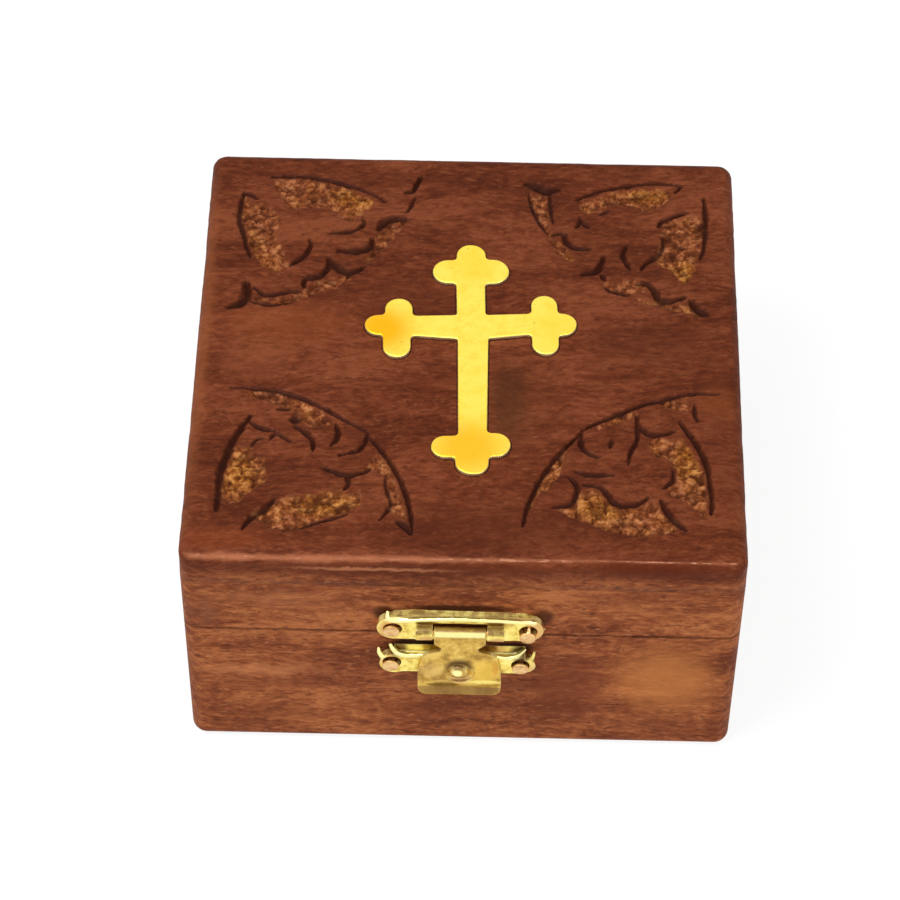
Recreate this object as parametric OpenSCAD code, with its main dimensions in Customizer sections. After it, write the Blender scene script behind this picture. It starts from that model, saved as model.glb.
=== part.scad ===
// Rosary box: a small hardwood box with a carved hinged lid, an inlaid brass cross and a brass hasp.
// Origin at the centre of the underside, +Z up, the front with the clasp towards -Y.

/* [Box] */
// Width of the box, left to right
box_w = 102; // [96:1:130]
// Depth of the box, front to back
box_d = 100; // [96:1:130]
// Height of the base up to its rim
base_h = 35.1; // [32:0.1:50]
// Height of the lid from its rim to the top
lid_h = 21.6; // [19:0.1:30]
// Gap between the two rims when the lid is shut
rim_gap = 0.3; // [0.2:0.05:0.4]
// Thickness of the boards at the sides
wall_t = 8; // [7.5:0.5:10]
// Radius of the upright corners
corner_r = 2.8; // [2.7:0.1:6]
// Radius of the edges round the top and the underside
edge_r = 2.6; // [1:0.1:2.6]

/* [Panels and linings] */
// Thickness of the bottom panel
bottom_t = 5; // [4:0.5:8]
// Width of the rabbet that holds the bottom panel
rabbet_w = 3; // [2:0.5:4]
// Thickness of the carved top panel
top_t = 8; // [6:0.5:10]
// Thickness of the velvet pad on the floor
floor_pad_t = 2.2; // [1:0.1:4]
// Thickness of the velvet pad under the top panel
lid_pad_t = 1.6; // [1:0.1:3]
// Gap between a pad and the boards beside it
pad_gap = 0.4; // [0.2:0.1:1]

/* [Hinges] */
// Distance from a side face of the box to the middle of the hinge near it
hinge_margin = 23; // [17:1:30]
// Length of each hinge along its pin
hinge_len = 18; // [14:1:24]
// Distance of the hinge pins in from the back face
hinge_inset = 2.5; // [2.2:0.1:3.2]
// Outer radius of the hinge knuckles
knuckle_r = 1.6; // [1.4:0.1:1.9]
// Radius of the hinge pins
hinge_pin_r = 0.8; // [0.6:0.05:0.9]
// Thickness of the hinge leaves
leaf_t = 0.9; // [0.6:0.1:1.1]
// Reach of a leaf from the pin across the rim
leaf_reach = 4.7; // [4.2:0.1:5]
// Angle through which the lid opens
lid_open = 105; // [95:1:115]
// Distance from the middle of a hinge to each of its nails
hinge_nail_x = 5.6; // [5.2:0.1:6.4]
// Radius of the shank of a hinge nail
hinge_nail_r = 0.65; // [0.5:0.05:0.8]
// Radius of the head of a hinge nail
hinge_nail_head_r = 1.15; // [0.9:0.05:1.25]
// Length of a hinge nail
hinge_nail_len = 7; // [5:0.5:9]

/* [Clasp] */
// Sideways place of the middle of the clasp
clasp_x = -0.3; // [-5:0.1:5]
// Thickness of the two nailed plates
plate_t = 1.6; // [1.2:0.1:1.7]
// Half length of the upper plate without its round ends
upper_half = 12; // [11:0.25:15]
// Height of the upper plate
upper_h = 6.4; // [5.8:0.1:7]
// Half width of the hasp at its knuckle
hasp_neck = 4.7; // [3.5:0.1:5.5]
// Half width of the hasp at its widest
hasp_half = 7.7; // [7:0.1:9]
// Thickness of the hasp
hasp_t = 1; // [0.8:0.05:1.2]
// Length of the hasp from its pin down to the crease of the lip
hasp_len = 15.7; // [14.5:0.1:19]
// Length of the finger lip past the crease
lip_len = 2; // [1.6:0.1:3.5]
// Outward tilt of the finger lip
lip_tilt = 42; // [20:1:60]
// Height of the hasp pin above the rim of the base
hasp_pin_h = 3; // [2.8:0.1:3.4]
// Outward distance of the hasp pin from the front face
hasp_pin_out = 2; // [1.9:0.05:2.2]
// Radius of the hasp pin
hasp_pin_r = 0.5; // [0.4:0.05:0.55]
// Length of each barrel of the upper plate
barrel_len = 3.1; // [2:0.1:4]
// Outer radius of the barrels
barrel_r = 1.5; // [1.3:0.05:1.6]
// Radius of the round dish in the hasp
dish_r = 2.8; // [2:0.1:3.2]
// Radius of the nub in the middle of the dish
nub_r = 1.3; // [0.8:0.05:1.4]
// Height of the round top of the nub above the face of the hasp
nub_proud = 0.7; // [0.3:0.05:0.8]
// Half length of the lower plate without its round ends
lower_half = 12; // [11:0.25:15]
// Height of the face of the lower plate
lower_h = 4.8; // [4.4:0.1:6]
// Depth of the lower plate's top edge below the rim of the base
lower_drop = 5.3; // [4.8:0.1:6]
// Radius of the nail holes in the plates
nail_hole_r = 1.6; // [1.3:0.05:1.8]
// Radius of a clasp nail's shank
nail_r = 0.7; // [0.5:0.05:0.9]
// Radius of a clasp nail's head
nail_head_r = 1.5; // [1.2:0.05:1.7]
// Length of a clasp nail's shank in the wood
nail_len = 5; // [3:0.5:6]

/* [Cross] */
// Sideways place of the crossing
cross_x = 0.5; // [-3:0.1:3]
// Place of the crossing towards the back
cross_y = 5.4; // [0:0.1:8]
// Turn of the hand-set cross
cross_turn = 1.7; // [-3:0.1:3]
// Width of the upright
upright_w = 5.6; // [4:0.1:6]
// Width of the arms
arm_w = 5.2; // [4:0.1:6]
// Reach of the upper arm and the side arms
arm_reach = 20; // [18:0.25:23]
// Reach of the lower arm
foot_reach = 36; // [32:0.25:38]
// Half length of the cross bar of a bud
bud_half = 7.3; // [6:0.1:8]
// Thickness of a bud
bud_w = 5.7; // [5:0.1:6.2]
// Distance from the tip of a bud to the middle of its cross bar
bud_back = 6.6; // [6:0.1:8]
// Depth of the seat of the cross in the wood
cross_seat = 1.4; // [0.8:0.1:2.5]
// Height of the cross above the wood
cross_proud = 0.7; // [0.2:0.1:1.2]

/* [Carving] */
// Distance of the carved corners in from the edges
carve_inset = 6.3; // [5:0.1:8]
// Radius of the carved quarter rounds
carve_r = 34.5; // [28:0.5:36]
// Depth of the sunk ground
carve_depth = 0.9; // [0.5:0.1:1.5]
// Width of the cuts round the quarter rounds
groove_w = 0.9; // [0.5:0.1:1.5]

/* [Hidden] */

// A round shape has this many sides on screen, and is a true circle in the solid
$fn = 48;
// Play of a pin in the part that turns on it
run_fit = 0.05;
// Play of a pin or a nail in the part that it is fixed in
tight_fit = 0.02;
// Clear space round the knuckles of a hinge and of the hasp
turn_gap = 0.3;
// Extra length of a cutting shape past the surface that it cuts
past = 1;

rim_z = base_h;
lid_z = base_h + rim_gap;
box_h = lid_z + lid_h;
rail_top = box_h - top_t;
seam_z = rim_z + rim_gap / 2;
inner_w = box_w - 2 * wall_t;
inner_d = box_d - 2 * wall_t;
hinge_x = box_w / 2 - hinge_margin;
hinge_y = box_d / 2 - hinge_inset;
// Half of the opening angle, with room left between the bevels when the lid stands open
bevel_angle = (lid_open + 3) / 2;
middle_knuckle = (hinge_len - 2 * turn_gap) * 0.4;
outer_knuckle = (hinge_len - 2 * turn_gap - middle_knuckle) / 2;
hinge_nail_y = hinge_y - (leaf_reach + knuckle_r + turn_gap) / 2;

// Outer radius of the hasp's knuckle, whose front is flush with the hasp's face
hasp_knuckle_r = hasp_t + 0.05;
// Outward distance of the back of the hasp's plate from the front face
hasp_back = hasp_pin_out + hasp_knuckle_r - hasp_t;
// Half width of the window that the knuckle turns in
window_half = hasp_neck + 0.25;
// Height of the lower edge of the upper plate above the rim of the base
upper_low = rim_gap - 0.25;
// Depth of the middle of the dish below the hasp pin
dish_drop = 11.2;
dish_h = hasp_pin_h - dish_drop;
// Thickness of metal left under the dish
dish_floor = 0.45;
// Space between the catch on the lower plate and the hasp
catch_gap = 0.2;
// Height of the sloping edge above the face of the lower plate
scoop_h = 2;
// Thickness of a clasp nail's head
nail_head_t = 0.5;
// Length of a hinge nail's point
nail_point = 1.5;

wood = [0.45, 0.2, 0.12];
wood_light = [0.55, 0.28, 0.16];
brass = [0.9, 0.72, 0.25];
old_brass = [0.75, 0.6, 0.25];
velvet = [0.35, 0.03, 0.06];

// Outer form of the shut box

// Upright rectangle of width w with its four corners rounded like the edges of the box
module edge_profile(w) {
    translate([-w / 2 + edge_r, 0]) square([w - 2 * edge_r, box_h]);
    translate([-w / 2, edge_r]) square([w, box_h - 2 * edge_r]);
    for (x = [-w / 2 + edge_r, w / 2 - edge_r])
        for (z = [edge_r, box_h - edge_r])
            translate([x, z]) circle(edge_r);
}

// Half of the profile of an upright corner, to be turned about its own middle
module corner_profile() {
    square([corner_r - edge_r, box_h]);
    translate([0, edge_r]) square([corner_r, box_h - 2 * edge_r]);
    for (z = [edge_r, box_h - edge_r])
        intersection() {
            translate([corner_r - edge_r, z]) circle(edge_r);
            square([corner_r, box_h]);
        }
}

module outer_form() {
    rotate([90, 0, 90])
        linear_extrude(box_w - 2 * corner_r, center = true) edge_profile(box_d);
    rotate([90, 0, 0])
        linear_extrude(box_d - 2 * corner_r, center = true) edge_profile(box_w);
    for (x = [-1, 1])
        for (y = [-1, 1])
            translate([x * (box_w / 2 - corner_r), y * (box_d / 2 - corner_r), 0])
                rotate_extrude() corner_profile();
}

// Part of the outer form between two corners given as [x, y, z]
module board(low, high) {
    intersection() {
        outer_form();
        translate(low) cube(high - low);
    }
}

// Space of the bottom panel, which is also the rabbet cut for it
module bottom_space(grow = 0) {
    w = inner_w + 2 * rabbet_w;
    d = inner_d + 2 * rabbet_w;
    translate([-w / 2, -d / 2, -grow]) cube([w, d, bottom_t + grow]);
}

// Wedge taken off the back edges of both rims, so that the lid can lean back
module back_bevel() {
    reach = hinge_inset + past;
    rise = reach * tan(bevel_angle);
    translate([0, hinge_y, seam_z])
        rotate([90, 0, 90])
            linear_extrude(box_w + 2 * past, center = true)
                polygon([[0, 0], [reach, -rise], [reach, rise]]);
}

// Pockets in the rims at the back for the knuckles and for one set of leaves
module hinge_pockets(leaf_z) {
    for (x = [-hinge_x, hinge_x]) {
        translate([x, hinge_y, seam_z])
            rotate([0, 90, 0])
                cylinder(h = hinge_len + 2 * turn_gap, r = knuckle_r + turn_gap, center = true);
        translate([x - hinge_len / 2, hinge_y - leaf_reach, leaf_z])
            cube([hinge_len, leaf_reach, leaf_t]);
    }
}

module hinge_nail_holes(up) {
    for (x = [-hinge_x, hinge_x])
        for (s = [-hinge_nail_x, hinge_nail_x])
            translate([x + s, hinge_nail_y, up ? lid_z : rim_z])
                rotate([up ? 0 : 180, 0, 0])
                    cylinder(h = hinge_nail_len + tight_fit, r = hinge_nail_r + tight_fit);
}

// Nail holes of the two plates, as [x, height above the rim of the base], and the nails driven
// through them by hand, which sit a little low in their holes
upper_holes = [[-upper_half - 0.2, hasp_pin_h + 0.1], [upper_half + 0.4, hasp_pin_h]];
lower_holes = [[-lower_half - 0.4, -lower_drop - 1.9], [lower_half - 0.8, -lower_drop - 2.2]];
upper_nails = [[-upper_half - 0.5, hasp_pin_h - 0.2], [upper_half + 0.3, hasp_pin_h - 0.8]];
lower_nails = [[-lower_half - 0.7, -lower_drop - 2.6], [lower_half - 0.8, -lower_drop - 2.8]];

// Moves a shape drawn as [x, height above the rim of the base, distance outward] onto the front face
module on_front() {
    translate([clasp_x, -box_d / 2, rim_z]) rotate([90, 0, 0]) children();
}

module clasp_nail_holes(places) {
    on_front()
        for (p = places)
            translate([p[0], p[1], -nail_len - tight_fit])
                cylinder(h = nail_len + past, r = nail_r + tight_fit);
}

// Boards of the base

module base_front_wall() {
    color(wood_light)
        difference() {
            board([-box_w / 2, -box_d / 2, 0], [box_w / 2, -inner_d / 2, rim_z]);
            bottom_space(past);
            clasp_nail_holes(lower_nails);
        }
}

module base_back_wall() {
    color(wood_light)
        difference() {
            board([-box_w / 2, inner_d / 2, 0], [box_w / 2, box_d / 2, rim_z]);
            bottom_space(past);
            back_bevel();
            hinge_pockets(rim_z - leaf_t);
            hinge_nail_holes(false);
        }
}

module base_side_wall(side) {
    x0 = side < 0 ? -box_w / 2 : inner_w / 2;
    difference() {
        board([x0, -inner_d / 2, 0], [x0 + wall_t, inner_d / 2, rim_z]);
        bottom_space(past);
    }
}

module base_left_wall() {
    color(wood) base_side_wall(-1);
}

module base_right_wall() {
    color(wood) base_side_wall(1);
}

module base_bottom_panel() {
    color(wood) bottom_space();
}

module base_floor_pad() {
    w = inner_w - 2 * pad_gap;
    d = inner_d - 2 * pad_gap;
    color(velvet) translate([-w / 2, -d / 2, bottom_t]) cube([w, d, floor_pad_t]);
}

// Boards of the lid

module lid_front_rail() {
    color(wood_light)
        difference() {
            board([-box_w / 2, -box_d / 2, lid_z], [box_w / 2, -inner_d / 2, rail_top]);
            clasp_nail_holes(upper_nails);
        }
}

module lid_back_rail() {
    color(wood_light)
        difference() {
            board([-box_w / 2, inner_d / 2, lid_z], [box_w / 2, box_d / 2, rail_top]);
            back_bevel();
            hinge_pockets(lid_z);
            hinge_nail_holes(true);
        }
}

module lid_side_rail(side) {
    x0 = side < 0 ? -box_w / 2 : inner_w / 2;
    board([x0, -inner_d / 2, lid_z], [x0 + wall_t, inner_d / 2, rail_top]);
}

module lid_left_rail() {
    color(wood) lid_side_rail(-1);
}

module lid_right_rail() {
    color(wood) lid_side_rail(1);
}

module lid_pad() {
    w = inner_w - 2 * pad_gap;
    d = inner_d - 2 * pad_gap;
    color(velvet) translate([-w / 2, -d / 2, rail_top - lid_pad_t]) cube([w, d, lid_pad_t]);
}

// Outline of a bud that ends an arm of the given reach and width, pointing up
module bud(reach, width) {
    r = bud_w / 2;
    y = reach - bud_back;
    translate([-bud_half + r, y - r]) square([2 * (bud_half - r), bud_w]);
    for (x = [-bud_half + r, bud_half - r])
        translate([x, y]) circle(r);
    translate([-width / 2, 0]) square([width, reach - width / 2]);
    translate([0, reach - width / 2]) circle(width / 2);
}

module cross_outline() {
    bud(arm_reach, upright_w);
    rotate(90) bud(arm_reach, arm_w);
    rotate(-90) bud(arm_reach, arm_w);
    rotate(180) bud(foot_reach, upright_w);
}

module cross_solid(low, height) {
    translate([cross_x, cross_y, low])
        rotate([0, 0, cross_turn])
            linear_extrude(height) cross_outline();
}

// Outline of the leaf that stands in a carved corner, with its stem at the corner and its tip inwards
module leaf_outline() {
    rotate(45) translate([0, -1.8]) square([carve_r * 0.5, 3.6]);
    rotate(45) translate([carve_r * 0.5, 0]) circle(carve_r * 0.2);
    rotate(18) translate([carve_r * 0.62, 0]) circle(carve_r * 0.15);
    rotate(72) translate([carve_r * 0.62, 0]) circle(carve_r * 0.15);
    rotate(45) translate([carve_r * 0.74, 0]) circle(carve_r * 0.15);
}

// One carved corner, drawn with its own corner at the origin and the quarter round in +X +Y
module corner_carving() {
    difference() {
        intersection() {
            circle(carve_r);
            square(carve_r + past);
        }
        circle(carve_r * 0.16);
        leaf_outline();
    }
    intersection() {
        difference() {
            circle(carve_r + groove_w);
            circle(carve_r);
        }
        square(carve_r + groove_w);
    }
}

module lid_top_panel() {
    color(wood)
        difference() {
            board([-box_w / 2, -box_d / 2, rail_top], [box_w / 2, box_d / 2, box_h]);
            cross_solid(box_h - cross_seat, cross_seat + past);
            for (x = [0, 1])
                for (y = [0, 1])
                    mirror([x, 0, 0])
                        mirror([0, y, 0])
                            translate([carve_inset - box_w / 2, carve_inset - box_d / 2, box_h - carve_depth])
                                linear_extrude(carve_depth + past) corner_carving();
        }
}

module lid_cross() {
    color(brass) cross_solid(box_h - cross_seat, cross_seat + cross_proud);
}

// Hinges

// Cylinders on the hinge axis, either the two outer knuckles or the middle one
module knuckles(outer, r, grow = 0) {
    rotate([0, 90, 0])
        if (outer)
            for (s = [-1, 1])
                translate([0, 0, s * (hinge_len - outer_knuckle) / 2])
                    cylinder(h = outer_knuckle + 2 * grow, r = r, center = true);
        else
            cylinder(h = middle_knuckle + 2 * grow, r = r, center = true);
}

module countersunk_nail(fit = 0) {
    sink = hinge_nail_head_r - hinge_nail_r;
    cylinder(h = sink, r1 = hinge_nail_head_r + fit, r2 = hinge_nail_r + fit);
    cylinder(h = hinge_nail_len - nail_point, r = hinge_nail_r + fit);
    translate([0, 0, hinge_nail_len - nail_point])
        cylinder(h = nail_point, r1 = hinge_nail_r, r2 = 0.15);
}

// Leaf with its knuckles: the lid's leaf has the middle knuckle and the base's has the two outer ones
module hinge_leaf(x, on_lid) {
    z0 = on_lid ? lid_z : rim_z - leaf_t;
    face = on_lid ? lid_z : rim_z;
    difference() {
        union() {
            translate([x - hinge_len / 2, hinge_y - leaf_reach, z0])
                cube([hinge_len, leaf_reach, leaf_t]);
            translate([x, hinge_y, seam_z]) knuckles(!on_lid, knuckle_r);
        }
        translate([x, hinge_y, seam_z]) {
            knuckles(on_lid, knuckle_r + turn_gap, turn_gap);
            rotate([0, 90, 0])
                cylinder(
                    h = hinge_len + 2 * past,
                    r = hinge_pin_r + (on_lid ? run_fit : tight_fit),
                    center = true
                );
        }
        for (s = [-hinge_nail_x, hinge_nail_x])
            translate([x + s, hinge_nail_y, face])
                rotate([on_lid ? 0 : 180, 0, 0]) countersunk_nail(tight_fit);
    }
}

module hinge_pin(x) {
    translate([x, hinge_y, seam_z])
        rotate([0, 90, 0]) cylinder(h = hinge_len, r = hinge_pin_r, center = true);
}

module left_hinge_base_leaf() {
    color(brass) hinge_leaf(-hinge_x, false);
}

module left_hinge_lid_leaf() {
    color(brass) hinge_leaf(-hinge_x, true);
}

module left_hinge_pin() {
    color(old_brass) hinge_pin(-hinge_x);
}

module right_hinge_base_leaf() {
    color(brass) hinge_leaf(hinge_x, false);
}

module right_hinge_lid_leaf() {
    color(brass) hinge_leaf(hinge_x, true);
}

module right_hinge_pin() {
    color(old_brass) hinge_pin(hinge_x);
}

module hinge_nails(up) {
    for (x = [-hinge_x, hinge_x])
        for (s = [-hinge_nail_x, hinge_nail_x])
            translate([x + s, hinge_nail_y, up ? lid_z : rim_z])
                rotate([up ? 0 : 180, 0, 0]) countersunk_nail();
}

module hinge_base_nails() {
    color(old_brass) hinge_nails(false);
}

module hinge_lid_nails() {
    color(old_brass) hinge_nails(true);
}

// Clasp, drawn in the frame of on_front

// Flat outline of a nailed plate with round ends
module plate_outline(half, low, high, left_r, right_r) {
    translate([-half, low]) square([2 * half, high - low]);
    translate([-half, (low + high) / 2]) circle(left_r);
    translate([half, (low + high) / 2]) circle(right_r);
}

module clasp_upper_plate() {
    color(brass) on_front()
        difference() {
            union() {
                linear_extrude(plate_t)
                    plate_outline(upper_half, upper_low, upper_low + upper_h, upper_h / 2, upper_h / 2);
                for (s = [-1, 1])
                    translate([s * (window_half + barrel_len / 2), hasp_pin_h, hasp_pin_out])
                        rotate([0, 90, 0]) cylinder(h = barrel_len, r = barrel_r, center = true);
            }
            // Window for the knuckle of the hasp
            translate([-window_half, hasp_pin_h - hasp_knuckle_r - turn_gap, -past])
                cube([2 * window_half, 2 * hasp_knuckle_r + 4 * turn_gap, plate_t + 4 * past]);
            // Bore through both barrels
            translate([0, hasp_pin_h, hasp_pin_out])
                rotate([0, 90, 0])
                    cylinder(
                        h = 2 * (window_half + barrel_len) + past,
                        r = hasp_pin_r + tight_fit,
                        center = true
                    );
            for (p = upper_holes)
                translate([p[0], p[1], -past]) cylinder(h = plate_t + 2 * past, r = nail_hole_r);
            // The barrels do not reach into the wood
            translate([-box_w / 2, -box_h, -2 * past]) cube([box_w, 2 * box_h, 2 * past]);
        }
}

// Half outline of the hasp's plate: half width and height for each corner, from the top down
hasp_half_outline = [
    [hasp_neck, hasp_pin_h],
    [hasp_neck, hasp_pin_h - 2.5],
    [hasp_neck - 1.35, hasp_pin_h - 3.7],
    [hasp_neck - 1.35, hasp_pin_h - 4.6],
    [hasp_neck + 1, hasp_pin_h - 5.4],
    [hasp_half - 0.9, hasp_pin_h - 6.4],
    [hasp_half, hasp_pin_h - 12],
    [hasp_half, hasp_pin_h - hasp_len]
];

module hasp_outline() {
    right = hasp_half_outline;
    left = [for (i = [len(right) - 1:-1:0]) [-right[i][0], right[i][1]]];
    polygon(concat(right, left));
}

// Finger lip: a tab with two rounded lower corners that leans outward below the crease
module hasp_lip() {
    r = 1.5;
    translate([0, hasp_pin_h - hasp_len, hasp_back])
        rotate([-lip_tilt, 0, 0])
            linear_extrude(hasp_t) {
                translate([-hasp_half, -lip_len + r]) square([2 * hasp_half, lip_len - r]);
                translate([-hasp_half + r, -lip_len]) square([2 * (hasp_half - r), r]);
                for (x = [-hasp_half + r, hasp_half - r])
                    translate([x, -lip_len + r]) circle(r);
            }
}

// Round top of the nub: the cap of a ball whose rim is the nub's own rim
module nub_top() {
    ball_r = (nub_r * nub_r + nub_proud * nub_proud) / (2 * nub_proud);
    translate([0, dish_h, hasp_back + hasp_t])
        rotate_extrude()
            intersection() {
                translate([0, nub_proud - ball_r]) circle(ball_r);
                square([nub_r, nub_proud]);
            }
}

module clasp_hasp() {
    color(brass) on_front()
        difference() {
            union() {
                translate([0, 0, hasp_back]) linear_extrude(hasp_t) hasp_outline();
                hasp_lip();
                nub_top();
                translate([0, hasp_pin_h, hasp_pin_out])
                    rotate([0, 90, 0]) cylinder(h = 2 * hasp_neck, r = hasp_knuckle_r, center = true);
            }
            translate([0, hasp_pin_h, hasp_pin_out])
                rotate([0, 90, 0])
                    cylinder(h = 2 * hasp_neck + past, r = hasp_pin_r + run_fit, center = true);
            difference() {
                translate([0, dish_h, hasp_back + dish_floor]) cylinder(h = hasp_t, r = dish_r);
                translate([0, dish_h, hasp_back]) cylinder(h = hasp_t + past, r = nub_r);
            }
        }
}

module clasp_hasp_pin() {
    color(old_brass) on_front()
        translate([0, hasp_pin_h, hasp_pin_out])
            rotate([0, 90, 0])
                cylinder(h = 2 * (window_half + barrel_len), r = hasp_pin_r, center = true);
}

module clasp_lower_plate() {
    top = -lower_drop;
    low = top - lower_h;
    r = lower_h / 2 + 0.4;
    color(brass) on_front()
        difference() {
            union() {
                linear_extrude(plate_t) plate_outline(lower_half, low, top, r, r - 0.8);
                // Sloping top edge, hollowed like a scoop
                rotate([90, 0, 90])
                    linear_extrude(2 * lower_half, center = true)
                        polygon([
                            [top - past, 0],
                            [top - past, plate_t],
                            [top, plate_t],
                            [top + scoop_h / 3, plate_t * 0.4],
                            [top + scoop_h, 0]
                        ]);
                // Low catch under the dish of the hasp
                translate([0, dish_h, 0]) cylinder(h = hasp_back - catch_gap, r = nub_r);
            }
            for (p = lower_holes)
                translate([p[0], p[1], -past]) cylinder(h = plate_t + 2 * past, r = nail_hole_r);
        }
}

module clasp_nails(places) {
    on_front()
        for (p = places)
            translate([p[0], p[1], 0]) {
                translate([0, 0, -nail_len]) cylinder(h = nail_len + plate_t, r = nail_r);
                translate([0, 0, plate_t]) cylinder(h = nail_head_t, r = nail_head_r);
            }
}

module clasp_upper_nails() {
    color(old_brass) clasp_nails(upper_nails);
}

module clasp_lower_nails() {
    color(old_brass) clasp_nails(lower_nails);
}

base_front_wall();
base_back_wall();
base_left_wall();
base_right_wall();
base_bottom_panel();
base_floor_pad();
lid_top_panel();
lid_front_rail();
lid_back_rail();
lid_left_rail();
lid_right_rail();
lid_cross();
lid_pad();
left_hinge_base_leaf();
left_hinge_lid_leaf();
left_hinge_pin();
right_hinge_base_leaf();
right_hinge_lid_leaf();
right_hinge_pin();
hinge_base_nails();
hinge_lid_nails();
clasp_upper_plate();
clasp_hasp();
clasp_hasp_pin();
clasp_lower_plate();
clasp_upper_nails();
clasp_lower_nails();
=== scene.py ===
"""Looks of a small hardwood box with a carved hinged lid, an inlaid brass cross and a brass hasp.

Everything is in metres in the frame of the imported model: the origin under the middle of the box,
+Z up and the front with the clasp towards -Y. Shapes are written in millimetres and scaled by MM.
"""

import math

import bpy
import numpy as np
from mathutils import Matrix, Vector


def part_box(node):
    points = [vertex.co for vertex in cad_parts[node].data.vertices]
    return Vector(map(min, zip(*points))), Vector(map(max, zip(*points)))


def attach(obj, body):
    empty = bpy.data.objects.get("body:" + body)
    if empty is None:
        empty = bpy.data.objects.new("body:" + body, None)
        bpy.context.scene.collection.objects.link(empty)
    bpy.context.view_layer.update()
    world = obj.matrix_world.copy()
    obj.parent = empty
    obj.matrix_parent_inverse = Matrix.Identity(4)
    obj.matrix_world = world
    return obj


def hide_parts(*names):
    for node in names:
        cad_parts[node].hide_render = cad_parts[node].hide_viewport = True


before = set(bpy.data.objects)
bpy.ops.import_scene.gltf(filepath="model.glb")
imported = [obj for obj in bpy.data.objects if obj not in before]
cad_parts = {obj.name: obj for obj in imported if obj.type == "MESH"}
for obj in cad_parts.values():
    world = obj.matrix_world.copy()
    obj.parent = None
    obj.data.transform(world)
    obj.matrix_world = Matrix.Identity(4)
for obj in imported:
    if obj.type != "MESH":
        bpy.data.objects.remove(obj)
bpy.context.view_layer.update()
MM = 0.001
SEED = 7


# Sizes taken from the frame, in millimetres


def node_box(name):
    """Lowest and highest corner of a node, in millimetres."""
    low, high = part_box(name)
    return np.array(low) / MM, np.array(high) / MM


TOP_LOW, TOP_HIGH = node_box("lid_top_panel")
HALF_W = (TOP_HIGH[0] - TOP_LOW[0]) / 2
HALF_D = (TOP_HIGH[1] - TOP_LOW[1]) / 2
TOP_Z = TOP_HIGH[2]
PANEL_Z = TOP_LOW[2]
CORNER_R = 2.8
EDGE_R = 2.6
FRONT_Y = -HALF_D


# Small tools for meshes


def add_object(name, data):
    """New object in the scene, with its mesh, light or camera."""
    piece = bpy.data.objects.new(name, data)
    bpy.context.scene.collection.objects.link(piece)
    return piece


def make_object(name, verts, faces, smooth=True):
    """New object from vertices in millimetres."""
    mesh = bpy.data.meshes.new(name)
    mesh.from_pydata([tuple(c * MM for c in v) for v in verts], [], [tuple(map(int, f)) for f in faces])
    mesh.validate()
    mesh.polygons.foreach_set("use_smooth", [smooth] * len(mesh.polygons))
    mesh.update()
    return add_object(name, mesh)


def apply_modifiers(piece):
    """Replaces the mesh of a piece by its evaluated mesh."""
    bpy.context.view_layer.update()
    shaped = piece.evaluated_get(bpy.context.evaluated_depsgraph_get())
    mesh = bpy.data.meshes.new_from_object(shaped)
    piece.modifiers.clear()
    piece.data = mesh
    return mesh


def add_number(mesh, name, values):
    """Stores one number for each vertex, for a material to read."""
    layer = mesh.attributes.new(name, "FLOAT", "POINT")
    layer.data.foreach_set("value", np.asarray(values, dtype=np.float32))


def skirt(first, second):
    """Faces from one closed ring of vertices out to a second, with triangles where the first stands still."""
    faces = []
    for k in range(len(first)):
        j = (k + 1) % len(first)
        a, b, c, d = first[k], first[j], second[j], second[k]
        faces.append((a, d, c) if a == b else (a, d, c, b))
    return faces


def bar_sides(rings, sides):
    """Faces along a bar that is given as closed rings of vertices, one ring after another."""
    faces = []
    for ring in range(rings - 1):
        for k in range(sides):
            a, b = ring * sides + k, ring * sides + (k + 1) % sides
            faces.append((a, b, b + sides, a + sides))
    return faces


def smooth_line(points, closed=False, steps=4):
    """Points along a smooth curve through the given ones."""
    p = np.array(points, dtype=float)
    n = len(p)
    if n < 3:
        return p
    out = []
    for i in range(n if closed else n - 1):
        places = (i - 1, i, i + 1, i + 2)
        a, b, c, d = (p[j % n] if closed else p[min(max(j, 0), n - 1)] for j in places)
        for k in range(steps):
            t = k / steps
            second = (2 * a - 5 * b + 4 * c - d) * t**2
            third = (3 * b - a - 3 * c + d) * t**3
            out.append(0.5 * (2 * b + (c - a) * t + second + third))
    if not closed:
        out.append(p[-1])
    return np.array(out)


def hashed(i, j, salt):
    """Even random number from 0 to 1 for each pair of whole numbers."""
    mixed = np.sin(i * 127.1 + j * 311.7 + salt * 74.7 + SEED) * 43758.5453
    return mixed - np.floor(mixed)


def value_noise(x, y, size, salt=0):
    """Smooth noise from -1 to 1 with features of the given size in millimetres."""
    u, v = np.asarray(x) / size, np.asarray(y) / size
    i, j = np.floor(u), np.floor(v)
    fu, fv = u - i, v - j
    fu, fv = fu * fu * (3 - 2 * fu), fv * fv * (3 - 2 * fv)
    low = hashed(i, j, salt) * (1 - fu) + hashed(i + 1, j, salt) * fu
    high = hashed(i, j + 1, salt) * (1 - fu) + hashed(i + 1, j + 1, salt) * fu
    return (low * (1 - fv) + high * fv) * 2 - 1


# Carving of the lid


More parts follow.
